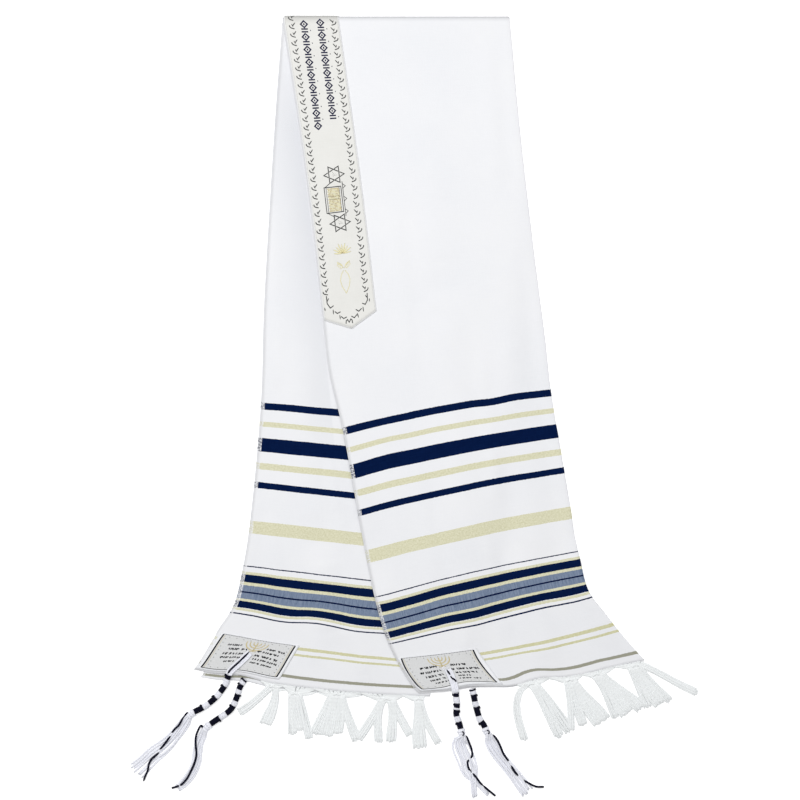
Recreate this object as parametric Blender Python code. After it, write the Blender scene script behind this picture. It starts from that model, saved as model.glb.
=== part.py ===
# A tallit: one long woven shawl, folded in half lengthwise and laid over itself at mid-length, so that its two
# falls spread in a narrow V. Metres, +Z up. It lies on z = 0 with its hems towards -Y, and the origin is under
# the middle of its footprint. Each fall is two plies of cloth joined by the lengthwise fold on its right side.
import math
from collections import namedtuple

import bmesh
import bpy
from mathutils import Vector

MM = 0.001

# Driving sizes
WALL = 1.0 * MM  # one ply of cloth
PLY_GAP = 0.5 * MM  # between the two plies of a fall
FOLD_GAP = 1.9 * MM  # between them where the lengthwise fold turns
FOLD_REACH = 0.07  # share of the width over which the plies part towards that fold
SEAM = 0.3 * MM  # between pieces that are sewn or laid together
CREASE_INSIDE = 1.6 * MM  # free radius inside the crosswise crease
CREASE_SPREAD = 60 * MM  # how far the upper fall takes to settle from the crease onto the lower one
STEP_DOWN = 40 * MM  # how far the upper fall takes to come down to the floor past the lower one
STEP_START = 28 * MM  # from where

ATARAH_WIDTH = 72 * MM
ATARAH_END = 515 * MM  # its square corners, measured up from the hem
ATARAH_POINT = 17 * MM  # how far its point reaches past them
ATARAH_WALL = 0.8 * MM
ATARAH_TURN = 0.7  # share of the half turn round the crease that it follows
PATCH_WALL = 0.8 * MM
PATCH_GAP = 0.7 * MM

STRIP_WIDTH = 3.0 * MM  # the heading that the fringe grows from
STRIP_WALL = 0.9 * MM
KNOT_OUT = 8 * MM  # from the hem to the middle of a fringe knot
KNOT_RADIUS = 3.4 * MM
LOCK_THICKNESS = 2.6 * MM
OFF_FLOOR = 0.4 * MM  # strands and locks end this far above the floor

CORD_WIDTH = 8.4 * MM
CORD_HEIGHT = 3.2 * MM
WRAP_RADIUS = 4.1 * MM
KNOT_SWELL = 0.5 * MM
STRANDS = 8
WOUND_RINGS = 19
STRAND_RADIUS = 1.0 * MM

# Grid counts
ACROSS = 12
PATCH_ROWS = 6
PATCH_COLUMNS = 12
DOWN = 30
FOLD_STEPS = 4
CREASE_STEPS = 6

# One row for each line across a fall, from the crease to the hem, in millimetres: how far up the cloth from the
# hem it lies, its ends in plan, and how far its middle bows away from the hem.
Line = namedtuple("Line", "up left_x left_y right_x right_y bow")
FRONT_LINES = [
    Line(893, -161, 504, 133, 504, 0.0),  # the crease
    Line(766, -141, 375, 143, 388, 1.5),
    Line(639, -123, 243, 156, 269, 3.0),
    Line(512, -108, 110, 171, 149, 4.0),
    Line(448, -100, 44, 179, 87, 4.5),
    Line(385, -83, -27, 186, 23, 5.0),  # top of the first navy band
    Line(222, -54, -186, 211, -129, 3.5),  # top of the wide gold band
    Line(149, -39, -255, 223, -197, 3.0),  # top of the lower group of bands
    Line(103, -26, -299, 234, -236, 0.5),  # bottom of that group
    Line(52, -11, -331, 266, -280, -7.5),  # top of the pair of gold lines
    Line(16, 7, -359, 297, -316, -6.5),  # top of the olive line
    Line(0, 16, -368, 308, -328, -7.5),  # the hem
]
BACK_LINES = [
    Line(893, -161, 504, 133, 504, 0.0),
    Line(766, -170, 383, 122, 376, 0.5),
    Line(639, -178, 256, 111, 243, 0.5),
    Line(512, -185, 130, 100, 110, 1.0),
    Line(385, -189, 5.5, 89, -21.5, 1.0),
    Line(222, -203, -148, 67, -179, 1.0),
    Line(149, -214, -216.5, 55, -246, -1.5),
    Line(103, -225, -258, 46, -292, -3.0),
    Line(52, -251, -297.5, 38, -331, -2.0),
    Line(16, -270, -329, 32, -362, -6.0),
    Line(0, -278, -340, 29, -375, -7.5),
]

# One row for each soft crest, in millimetres: its two ends in plan, its height and its half width.
Crest = namedtuple("Crest", "from_x from_y to_x to_y height half_width")
BACK_CRESTS = [  # the upper ply of the lower fall
    Crest(-136, 60, -124, -150, 2.4, 30),
    Crest(-112, -200, -102, -290, 3.2, 30),
    Crest(-206, -120, -216, -225, 2.0, 26),
    Crest(-74, -285, -50, -340, 2.4, 26),
]
FRONT_LIFTS = [  # both plies of the upper fall, off what they lie on
    Crest(-84, -20, -62, -150, 2.4, 34),
    Crest(-34, -230, -20, -290, 2.2, 26),
]
FRONT_CRESTS = [  # the upper ply of the upper fall
    Crest(44, 120, 78, -170, 3.0, 40),
    Crest(136, 90, 168, -190, 2.2, 34),
    Crest(146, -205, 184, -325, 3.2, 30),
    Crest(216, -190, 256, -290, 2.6, 28),
    Crest(26, 380, 40, 190, 1.8, 40),
]

# The under ply of a fall shows past the upper one, in millimetres: out at the open side, then near the hem how
# far it lies along it and out of it, and how far the hem itself is drawn back. All of it fades towards the fold.
Slip = namedtuple("Slip", "side along out drawn_back")
FRONT_SLIP = Slip(1.5, 0, 2.5, 0)
BACK_SLIP = Slip(2.0, 9, 18, 9)
HEM_TURN = 14 * MM  # how far up the cloth the drawing back reaches
HEM_SLIP_REACH = 70 * MM  # how far up the cloth the hem's slip starts

# One row for each small slide of the cloth in its own plane: the share across and the millimetres up where it is
# strongest, how far it reaches both ways, and the move towards the crease in millimetres.
Slide = namedtuple("Slide", "fall across up reach_across reach_up move")
SLIDES = [
    Slide("back", 0.20, 0, 0.14, 60, 4.0),
    Slide("back", 0.23, 96, 0.13, 60, -1.8),
    Slide("back", 0.42, 98, 0.15, 60, 2.6),
    Slide("back", 0.62, 96, 0.14, 50, -1.2),
    Slide("front", 0.22, 0, 0.12, 40, 2.5),
    Slide("front", 0.41, 12, 0.10, 34, -3.6),
    Slide("front", 0.54, 14, 0.10, 36, 3.2),
    Slide("front", 0.72, 14, 0.14, 36, -2.4),
    Slide("front", 0.45, 96, 0.16, 50, -1.6),
    Slide("front", 0.66, 98, 0.14, 50, 1.6),
]

# A corner patch: its fall and its corners, each a share across and millimetres up from the hem, from the top left
# one round by the right.
Patch = namedtuple("Patch", "name fall corners")
PATCHES = [
    Patch("patch_front", "front", ((0.004, 62), (0.379, 60), (0.383, 5.6), (0.004, 1.2))),
    Patch("patch_back", "back", ((0.015, 60), (0.381, 55.3), (0.353, 8.5), (0.004, 2.8))),
]

# One row for each lock of fringe, in millimetres: where its knot sits across the hem, from which ply it comes,
# how far its tip lies to the side and out, its width there, and how far its middle bends to the side.
Lock = namedtuple("Lock", "across ply side out width bend", defaults=(0,))
FRONT_LOCKS = [
    Lock(0.49, "over", -7, 73, 9, bend=-17),
    Lock(0.49, "over", 38, 66, 11),
    Lock(0.49, "over", 50, 61, 11),
    Lock(0.67, "under", 2, 65, 8),
    Lock(0.67, "under", 17, 58, 11),
    Lock(0.67, "under", 40, 53, 19),
    Lock(0.785, "over", 21, 55, 11),
    Lock(0.785, "over", 40, 49, 15),
    Lock(0.785, "over", 60, 43, 13),
    Lock(0.96, "under", 17, 53, 11),
    Lock(0.96, "under", 32, 50, 15),
    Lock(0.96, "under", 44, 44, 10),
    Lock(0.96, "under", 78, 36, 6),
]
BACK_LOCKS = [
    Lock(0.34, "over", -43, 32, 9),
    Lock(0.34, "over", -10, 46, 16),
    Lock(0.42, "under", -3, 51, 10),
    Lock(0.42, "under", 7, 45, 9),
    Lock(0.42, "under", 19, 56, 8),
    Lock(0.61, "over", -30, 47, 12),
    Lock(0.61, "over", -14, 52, 15),
    Lock(0.61, "over", 4, 49, 12),
    Lock(0.61, "over", 27, 57, 10),
    Lock(0.82, "under", -38, 51, 10),
    Lock(0.82, "under", -8, 53, 10),
    Lock(0.82, "under", 6, 53, 11),
    Lock(0.82, "under", 29, 46, 10),
    Lock(0.96, "over", -3, 61, 16),
    Lock(0.96, "over", 22, 56, 10),
]

# A tzitzit's routes, in millimetres: the doubled cord from its eyelet to the hem in plan, the wound stretch that
# follows with the height of what it rests on, and the middle of its loose strands in plan, with how far these
# spread at the tip.
Tzitzit = namedtuple("Tzitzit", "name fall cord wound strands spread")
TZITZIT = [
    Tzitzit(
        "tzitzit_back_over",
        "back",
        [(-202, -315), (-217, -327), (-226, -337), (-230, -342)],
        [
            (-232, -346, 4.6),
            (-234, -352, 3.8),
            (-236, -358, 1.6),
            (-241, -366, 0.4),
            (-249, -376, 0.4),
            (-264, -388, 0.4),
            (-279, -396, 0.4),
        ],
        [(-304, -418), (-323, -444), (-339, -463), (-360, -478)],
        34,
    ),
    Tzitzit(
        "tzitzit_back_under",
        "back",
        [],
        [
            (-211, -352.6, 1.1),
            (-216, -359, 0.9),
            (-219, -366, 0.4),
            (-222, -376, 0.4),
            (-230, -392, 0.4),
            (-251, -407, 0.4),
            (-260, -414, 0.4),
        ],
        [(-269, -427), (-271, -446), (-280, -468), (-301, -497)],
        10,
    ),
    Tzitzit(
        "tzitzit_front_over",
        "front",
        [(52, -339), (56, -347), (60, -358), (62, -367.6)],
        [(62.7, -370.0, 0.8), (63, -376, 0.4), (64, -385, 0.4), (63, -398, 0.4), (67, -410, 0.4), (70, -422, 0.4)],
        [(68, -437), (73, -453), (81, -478), (94, -507)],
        17,
    ),
    Tzitzit(
        "tzitzit_front_under",
        "front",
        [],
        [(83.2, -365.0, 1.0), (85, -371, 0.4), (89, -389, 0.4), (94, -405, 0.4), (99, -412, 0.4), (102, -419, 0.4)],
        [(110, -433), (123, -452), (137, -472), (162, -497)],
        17,
    ),
]

COLOURS = {
    "shawl cloth": ((0.88, 0.88, 0.90, 1.0), 0.75),
    "neckband": ((0.86, 0.84, 0.76, 1.0), 0.55),
    "corner patch": ((0.80, 0.80, 0.77, 1.0), 0.55),
    "white yarn": ((0.86, 0.87, 0.88, 1.0), 0.85),
}


def clear_scene():
    for obj in list(bpy.data.objects):
        bpy.data.objects.remove(obj)


def ease(share):
    """0 below 0, 1 above 1, and smooth between."""
    share = min(1.0, max(0.0, share))
    return share * share * (3 - 2 * share)


def hermite(knots, values, at):
    """The value at a place on the smooth curve through values, whose knots fall or rise steadily."""
    rising = knots[-1] > knots[0]
    last = len(knots) - 2
    span = next((i for i in range(last) if (at < knots[i + 1]) == rising), last)

    def slope(i):
        low, high = max(i - 1, 0), min(i + 1, last + 1)
        return (values[high] - values[low]) / (knots[high] - knots[low])

    width = knots[span + 1] - knots[span]
    t = min(1.0, max(0.0, (at - knots[span]) / width))
    return (
        (2 * t**3 - 3 * t**2 + 1) * values[span]
        + (t**3 - 2 * t**2 + t) * width * slope(span)
        + (3 * t**2 - 2 * t**3) * values[span + 1]
        + (t**3 - t**2) * width * slope(span + 1)
    )


def spread_evenly(points, count):
    """count points along the smooth curve through points."""
    knots = [0.0]
    for a, b in zip(points, points[1:]):
        knots.append(knots[-1] + (b - a).length)
    columns = list(zip(*points))
    steps = [knots[-1] * i / (count - 1) for i in range(count)]
    return [Vector([hermite(knots, column, s) for column in columns]) for s in steps]


class Fall:
    """Half of the shawl's length: two plies, open at the left and folded at the right."""

    def __init__(self, lines, slides, slip, under_side):
        self.ups = [line.up * MM for line in lines]
        self.columns = {
            name: [getattr(line, name) * MM for line in lines]
            for name in ("left_x", "left_y", "right_x", "right_y", "bow")
        }
        self.slides = slides
        self.slip = slip
        self.under_side = under_side  # +1 where the outer ply of the crease lies underneath, or else -1
        self.top = self.ups[0]

    def at(self, column, up):
        return hermite(self.ups, self.columns[column], up)

    def ends(self, up):
        left = Vector((self.at("left_x", up), self.at("left_y", up), 0))
        right = Vector((self.at("right_x", up), self.at("right_y", up), 0))
        return left, right

    def plan(self, across, up):
        """The flat place of a point."""
        left, right = self.ends(up)
        point = left.lerp(right, across)
        point.y += 4 * across * (1 - across) * self.at("bow", up)
        for slide in self.slides:
            near = ease(1 - abs(across - slide.across) / slide.reach_across)
            point.y += slide.move * MM * near * ease(1 - abs(up / MM - slide.up) / slide.reach_up)
        return point

    def side_at(self, y):
        """Where the right side lies at a height in plan."""
        return hermite(self.columns["right_y"], self.columns["right_x"], y)


FALLS = {
    "front": Fall(FRONT_LINES, [s for s in SLIDES if s.fall == "front"], FRONT_SLIP, under_side=-1),
    "back": Fall(BACK_LINES, [s for s in SLIDES if s.fall == "back"], BACK_SLIP, under_side=1),
}
FLAT_STACK = 2 * WALL + PLY_GAP
CREASE_Y = FRONT_LINES[0].left_y * MM
CREASE_RADIUS = CREASE_INSIDE + FLAT_STACK / 2  # to the middle of the stack of plies
CREASE_Z = FLAT_STACK / 2 + CREASE_RADIUS


def crest_height(crests, x, y):
    total = 0.0
    for crest in crests:
        start = Vector((crest.from_x, crest.from_y)) * MM
        along = Vector((crest.to_x, crest.to_y)) * MM - start
        reach = crest.half_width * MM
        offset = Vector((x, y)) - start
        share = min(1.0, max(0.0, offset.dot(along) / along.length_squared))
        distance = (offset - along * share).length
        total += crest.height * MM * ease(1 - distance / reach) * ease(2.2 * math.sin(math.pi * (0.08 + 0.84 * share)))
    return total


def loft(fall_name, across, point):
    """Air between the two plies."""
    crests = FRONT_CRESTS if fall_name == "front" else BACK_CRESTS
    near_crease = ease((CREASE_Y - point.y) / CREASE_SPREAD)
    gap = PLY_GAP + crest_height(crests, point.x, point.y) * near_crease
    at_fold = ease((across - 1 + FOLD_REACH) / FOLD_REACH) * near_crease
    return gap + (FOLD_GAP - PLY_GAP) * at_fold


def base(fall_name, point):
    """The height of a fall's underside."""
    if fall_name == "back":
        return 0.0
    x, y = point.x, point.y
    past = x - FALLS["back"].side_at(y) - STEP_START
    resting = FLAT_STACK + FOLD_GAP - PLY_GAP + SEAM
    resting *= 1 - ease(past / STEP_DOWN)
    at_crease = 2 * CREASE_RADIUS
    share = ease((CREASE_Y - y) / CREASE_SPREAD)
    return at_crease + (resting - at_crease) * share + crest_height(FRONT_LIFTS, x, y) * share


def ply_middle(fall_name, across, up, side, lift=0.0):
    """A point on the middle of a ply, or out beyond it. Side is +1 for the ply that is outermost at the crease."""
    fall = FALLS[fall_name]
    point = fall.plan(across, up)
    gap = loft(fall_name, across, point)
    left, right = fall.ends(up)
    sideways = (right - left).normalized()
    outward = -1 if fall_name == "back" else 1  # which way is up for the outer ply
    centre = base(fall_name, point) + WALL + gap / 2
    point -= sideways * across * (FOLD_GAP / 2 + WALL)
    if side == fall.under_side:
        slip, near_hem = fall.slip, ease(1 - up / HEM_SLIP_REACH)
        out = slip.out * near_hem - slip.drawn_back * max(0.0, 1 - up / HEM_TURN)
        point += sideways * (slip.along * near_hem - slip.side) * MM * (1 - across)
        point += Vector((sideways.y, -sideways.x, 0)) * out * MM * (1 - across)
    point.z = centre + outward * side * (gap / 2 + WALL / 2 + lift)
    return point


def on_ply(fall_name, across, up, side, out=0.0):
    """A point on a ply's own facets, or out beyond them."""
    top = FALLS[fall_name].top
    column = min(int(across * ACROSS), ACROSS - 1)
    row = min(int((1 - up / top) * DOWN), DOWN - 1)
    to_right = across * ACROSS - column
    to_hem = (1 - up / top) * DOWN - row
    ends = []
    for r in (row, row + 1):
        height = top * (1 - r / DOWN)
        near = ply_middle(fall_name, column / ACROSS, height, side, out)
        ends.append(near.lerp(ply_middle(fall_name, (column + 1) / ACROSS, height, side, out), to_right))
    return ends[0].lerp(ends[1], to_hem)


def with_grid(start, end, step):
    """start, end and the multiples of step between them."""
    low, high = sorted((start, end))
    inner = [i * step for i in range(math.ceil(low / step), math.floor(high / step) + 1)]
    places = sorted({low, high} | {p for p in inner if low + step * 0.1 < p < high - step * 0.1})
    return places if start < end else places[::-1]


def crease_point(across, turn, side, out=0.0):
    """A point on the half turn that joins the falls: turn runs from 0 on the front fall to 1 on the back one."""
    start = ply_middle("front", across, FALLS["front"].top, side)
    angle = math.pi * turn
    radius = CREASE_RADIUS + side * (PLY_GAP / 2 + WALL / 2) + out
    return Vector((start.x, CREASE_Y + radius * math.sin(angle), CREASE_Z + radius * math.cos(angle)))


def line_across(place, middle, outward):
    """The points of one line across both plies: place gives a point of a ply, and middle the fold's centre."""
    over = [place(i / ACROSS, 1) for i in range(ACROSS + 1)]
    under = [place(1 - i / ACROSS, -1) for i in range(ACROSS + 1)]
    centre = (over[-1] + under[0]) / 2
    arm = over[-1] - centre
    turned = []
    for i in range(1, FOLD_STEPS):
        angle = math.pi * i / FOLD_STEPS
        turned.append(centre + arm * math.cos(angle) + middle * arm.length * math.sin(angle))
    return over + turned + under


def fall_lines(fall_name):
    """The lines across a fall, from the crease to the hem."""
    fall = FALLS[fall_name]
    lines = []
    for i in range(DOWN + 1):
        up = fall.top * (1 - i / DOWN)
        left, right = fall.ends(up)
        sideways = (right - left).normalized()
        lines.append(line_across(lambda a, s, up=up: ply_middle(fall_name, a, up, s), sideways, 1))
    return lines


def crease_lines():
    """The lines across the half turn, from the back fall to the front one."""
    sideways = Vector((1, 0, 0))
    return [
        line_across(lambda a, s, t=1 - i / CREASE_STEPS: crease_point(a, t, s), sideways, 1)
        for i in range(CREASE_STEPS)
    ]


def make_object(name, mesh, material):
    obj = bpy.data.objects.new(name, mesh)
    obj.data.materials.append(material)
    bpy.context.scene.collection.objects.link(obj)
    return obj


def sheet(name, lines, thickness, material):
    """A wall of even thickness through lines of points."""
    mesh = bpy.data.meshes.new(name)
    bm = bmesh.new()
    rows = [[bm.verts.new(p) for p in line] for line in lines]
    for row, following in zip(rows, rows[1:]):
        for i in range(len(row) - 1):
            bm.faces.new((row[i], following[i], following[i + 1], row[i + 1]))
    bm.to_mesh(mesh)
    bm.free()
    mesh.shade_smooth()
    obj = make_object(name, mesh, material)
    wall = obj.modifiers.new("wall", "SOLIDIFY")
    wall.thickness = thickness
    wall.offset = 0
    return obj


def make_material(name):
    colour, roughness = COLOURS[name]
    material = bpy.data.materials.new(name)
    material.use_nodes = True
    shader = material.node_tree.nodes["Principled BSDF"]
    shader.inputs["Base Color"].default_value = colour
    shader.inputs["Roughness"].default_value = roughness
    shader.inputs["Metallic"].default_value = 0.0
    return material


def make_cloth(material):
    front = fall_lines("front")
    sheet("cloth_front", crease_lines() + front, WALL, material)
    back = fall_lines("back")
    join = Vector((0, -SEAM, 0))
    back[0] = [p + join for p in back[0]]
    sheet("cloth_back", back, WALL, material)


def over_side(fall_name):
    return -FALLS[fall_name].under_side


def make_atarah(material):
    """The neckband, sewn along the open side and over the crease, with a shallow point at its end."""
    turns = 4
    out = WALL / 2 + SEAM + ATARAH_WALL / 2
    top = FALLS["front"].top
    left, right = FALLS["front"].ends(top)
    width = ATARAH_WIDTH / (right - left).length
    shares = [width * i / 4 for i in range(5)]
    lines = []
    for i in range(turns):
        turn = ATARAH_TURN * (1 - i / turns)
        lines.append([crease_point(a, turn, 1, out) for a in shares])
    for up in with_grid(top, ATARAH_END, top / DOWN)[:-1]:
        lines.append([on_ply("front", a, up, 1, out) for a in shares])
    end = []
    for i, a in enumerate(shares):
        pointed = ATARAH_POINT * (1 - abs(i / 2 - 1))
        end.append(on_ply("front", a, ATARAH_END - pointed, 1, out))
    lines.append(end)
    sheet("atarah", lines, ATARAH_WALL, material)


def make_patches(material):
    out = WALL / 2 + PATCH_GAP + PATCH_WALL / 2
    for patch in PATCHES:
        side = over_side(patch.fall)
        left_top, right_top, right_low, left_low = (Vector(corner) for corner in patch.corners)
        lines = []
        for r in range(PATCH_ROWS + 1):
            start, end = left_top.lerp(left_low, r / PATCH_ROWS), right_top.lerp(right_low, r / PATCH_ROWS)
            places = [start.lerp(end, c / PATCH_COLUMNS) for c in range(PATCH_COLUMNS + 1)]
            lines.append([on_ply(patch.fall, across, up * MM, side, out) for across, up in places])
        sheet(patch.name, lines, PATCH_WALL, material)


def add_tube(bm, centres, half_widths, half_heights, sides, turn=0.0):
    """A closed tube through centres, flat on the floor side when its half widths and heights differ."""
    rings = []
    for i, centre in enumerate(centres):
        ahead = centres[min(i + 1, len(centres) - 1)] - centres[max(i - 1, 0)]
        ahead.normalize()
        across = Vector((ahead.y, -ahead.x, 0)).normalized()
        lift = across.cross(ahead)
        ring = []
        for k in range(sides):
            angle = 2 * math.pi * k / sides + turn
            point = centre + across * half_widths[i] * math.cos(angle) + lift * half_heights[i] * math.sin(angle)
            ring.append(bm.verts.new(point))
        rings.append(ring)
    for ring, following in zip(rings, rings[1:]):
        for k in range(sides):
            after = (k + 1) % sides
            bm.faces.new((ring[k], ring[after], following[after], following[k]))
    bm.faces.new(rings[0][::-1])
    bm.faces.new(rings[-1])


def add_ball(bm, centre, radius, flatten):
    made = bmesh.ops.create_uvsphere(bm, u_segments=6, v_segments=4, radius=radius)
    for vert in made["verts"]:
        vert.co.z *= flatten
        vert.co += centre


def fused(name, body, grown, material):
    """One solid of body and all that grows from it."""
    bmesh.ops.recalc_face_normals(body, faces=body.faces)
    bmesh.ops.recalc_face_normals(grown, faces=grown.faces)
    meshes = []
    for suffix, bm in (("", body), ("_grown", grown)):
        mesh = bpy.data.meshes.new(name + suffix)
        bm.to_mesh(mesh)
        bm.free()
        meshes.append(mesh)
    obj = make_object(name, meshes[0], material)
    tool = make_object(name + "_grown", meshes[1], material)
    tool.hide_render = True
    tool.display_type = "WIRE"
    union = obj.modifiers.new("fuse", "BOOLEAN")
    union.operation = "UNION"
    union.object = tool
    union.use_self = True
    return obj


def hem_frame(fall_name, across, ply):
    """The middle of a ply's hem there, and the unit directions out of the cloth and along the hem."""
    side = over_side(fall_name) if ply == "over" else FALLS[fall_name].under_side
    point = on_ply(fall_name, across, 0.0, side)
    ahead = on_ply(fall_name, min(across + 0.03, 1.0), 0.0, side)
    behind = on_ply(fall_name, max(across - 0.03, 0.0), 0.0, side)
    along = ahead - behind
    along.z = 0
    along.normalize()
    return point, Vector((along.y, -along.x, 0)), along


def strip_centres(fall_name, first):
    """The middle of the fringe's heading: along one ply's hem, round the lengthwise fold and back on the other."""
    over, under = [], []
    for across in with_grid(first, 1.0, 1 / ACROSS):
        for ply, found in (("over", over), ("under", under)):
            point, outward, _ = hem_frame(fall_name, across, ply)
            found.append(point + outward * (SEAM + STRIP_WIDTH / 2))
    centre = (over[-1] + under[-1]) / 2
    arm = over[-1] - centre
    _, outward, along = hem_frame(fall_name, 1.0, "over")
    turned = []
    for i in range(1, FOLD_STEPS):
        angle = math.pi * i / FOLD_STEPS
        turned.append(centre + arm * math.cos(angle) + along * arm.length * math.sin(angle))
    return over + turned + under[::-1], outward


def add_strip(bm, centres, outward):
    """A flat heading that turns with the cloth."""
    rings = []
    for i, centre in enumerate(centres):
        ahead = centres[min(i + 1, len(centres) - 1)] - centres[max(i - 1, 0)]
        ahead.normalize()
        out = (outward - ahead * outward.dot(ahead)).normalized()
        lift = out.cross(ahead)
        corners = ((-1, -1), (1, -1), (1, 1), (-1, 1))
        ring = [centre + out * STRIP_WIDTH / 2 * a + lift * STRIP_WALL / 2 * b for a, b in corners]
        rings.append([bm.verts.new(p) for p in ring])
    for ring, following in zip(rings, rings[1:]):
        for k in range(4):
            after = (k + 1) % 4
            bm.faces.new((ring[k], ring[after], following[after], following[k]))
    bm.faces.new(rings[0][::-1])
    bm.faces.new(rings[-1])


def make_fringe(name, fall_name, locks, material):
    body, grown = bmesh.new(), bmesh.new()
    centres, outward = strip_centres(fall_name, min(lock.across for lock in locks) - 0.02)
    add_strip(body, centres, outward)
    knots = {}
    for lock in locks:
        root, out, along = hem_frame(fall_name, lock.across, lock.ply)
        centre = root + out * KNOT_OUT
        centre.z = max(root.z, OFF_FLOOR + KNOT_RADIUS * 0.7)
        knots[lock.across] = (root, out, along, centre)
        tip = centre + Vector((lock.side, -lock.out, 0)) * MM
        tip.z = OFF_FLOOR + LOCK_THICKNESS / 2
        middle = centre.lerp(tip, 0.5) + out * 3 * MM + Vector((lock.bend, 0, 0)) * MM
        line = spread_evenly([centre, middle, tip], 5)
        widths = [(2.2 + (lock.width / 2 - 2.2) * ease(i / 4)) * MM for i in range(5)]
        heights = [LOCK_THICKNESS / 2 * 0.8] + [LOCK_THICKNESS / 2] * 4
        add_tube(grown, line, widths, heights, 4)
    for root, out, along, centre in knots.values():
        neck = [root + out * (SEAM + STRIP_WIDTH * 0.4), root.lerp(centre, 0.7), centre]
        add_tube(grown, neck, [6 * MM, 3 * MM, 1.5 * MM], [STRIP_WALL * 0.3, 0.8 * MM, 1.2 * MM], 4)
        add_ball(grown, centre, KNOT_RADIUS, 0.7)
    fused(name, body, grown, material)


def make_tzitzit(tassel, material):
    body, grown = bmesh.new(), bmesh.new()
    cord, wound = [], []
    for x, y in tassel.cord:
        point = Vector((x, y, 0)) * MM
        stack = base(tassel.fall, point) + 2 * WALL + loft(tassel.fall, 0.2, point) + PATCH_GAP + PATCH_WALL + SEAM
        cord.append(Vector((point.x, point.y, stack + CORD_HEIGHT / 2)))
    for x, y, rest in tassel.wound:
        wound.append(Vector((x * MM, y * MM, rest * MM + WRAP_RADIUS + KNOT_SWELL)))
    line = spread_evenly(cord, 5) if cord else []
    widths, heights = [CORD_WIDTH / 2] * len(line), [CORD_HEIGHT / 2] * len(line)
    radii = [WRAP_RADIUS + (KNOT_SWELL if i % 4 in (2, 3) else 0.0) for i in range(WOUND_RINGS)]
    line = line + spread_evenly(wound, WOUND_RINGS)
    add_tube(body, line, widths + radii, heights + radii, 8)
    head = line[-1]
    ends = [Vector((x * MM, y * MM, OFF_FLOOR + STRAND_RADIUS)) for x, y in tassel.strands]
    before = head + (line[-2] - head) * 0.6
    for k in range(STRANDS):
        place = k / (STRANDS - 1) - 0.5
        centres = spread_evenly([before, head] + ends, 9)
        strand = []
        for i, centre in enumerate(centres):
            ahead = (centres[min(i + 1, 8)] - centres[max(i - 1, 0)]).normalized()
            across = Vector((ahead.y, -ahead.x, 0)).normalized()
            share = i / 8
            spread = (4.5 + (tassel.spread - 4.5) * share**1.3) * MM
            strand.append(centre + across * spread * place)
        add_tube(grown, strand, [STRAND_RADIUS] * 9, [STRAND_RADIUS] * 9, 3, turn=math.pi / 2)
    fused(tassel.name, body, grown, material)


def main():
    clear_scene()
    cloth = make_material("shawl cloth")
    yarn = make_material("white yarn")
    make_cloth(cloth)
    make_atarah(make_material("neckband"))
    make_patches(make_material("corner patch"))
    make_fringe("fringe_front", "front", FRONT_LOCKS, yarn)
    make_fringe("fringe_back", "back", BACK_LOCKS, yarn)
    for tassel in TZITZIT:
        make_tzitzit(tassel, yarn)


main()
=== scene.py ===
import math
import random

import bpy
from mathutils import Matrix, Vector, noise


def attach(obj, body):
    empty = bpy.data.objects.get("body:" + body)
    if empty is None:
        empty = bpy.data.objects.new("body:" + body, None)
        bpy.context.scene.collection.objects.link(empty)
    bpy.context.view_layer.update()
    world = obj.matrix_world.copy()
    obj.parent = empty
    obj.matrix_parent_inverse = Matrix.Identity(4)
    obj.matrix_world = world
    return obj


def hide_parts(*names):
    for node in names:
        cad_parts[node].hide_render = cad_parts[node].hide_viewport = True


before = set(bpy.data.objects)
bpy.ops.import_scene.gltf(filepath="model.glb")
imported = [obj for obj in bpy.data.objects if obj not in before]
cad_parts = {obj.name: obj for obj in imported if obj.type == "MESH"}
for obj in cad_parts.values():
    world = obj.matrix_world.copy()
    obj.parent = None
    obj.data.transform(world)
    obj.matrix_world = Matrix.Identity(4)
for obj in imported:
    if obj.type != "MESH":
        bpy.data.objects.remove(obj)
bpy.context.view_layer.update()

mm = 0.001
dice = random.Random(18)
print("frame loaded")

# stage: camera, floor and light

stage = {
    "lookAt": (-10, 10),  # mm, the middle of the view
    "cameraHeight": 2.889,  # m, and so are the floor's and the lamps' lengths
    "lens": 100,
    "sensor": 36,
    "floorSize": 8,
    "floorHeight": -0.0002,
    "floorColour": (0.97, 0.97, 0.975),
    "floorGlow": 0.32,
    "skyStrength": 0.38,
    # each lamp's name, place, size and power
    "lamps": (
        ("keyLight", (-0.42, 0.8, 2.6), 2.4, 73.5),
        ("fillLight", (1.0, -0.4, 2.6), 2.4, 4),
    ),
}


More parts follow.
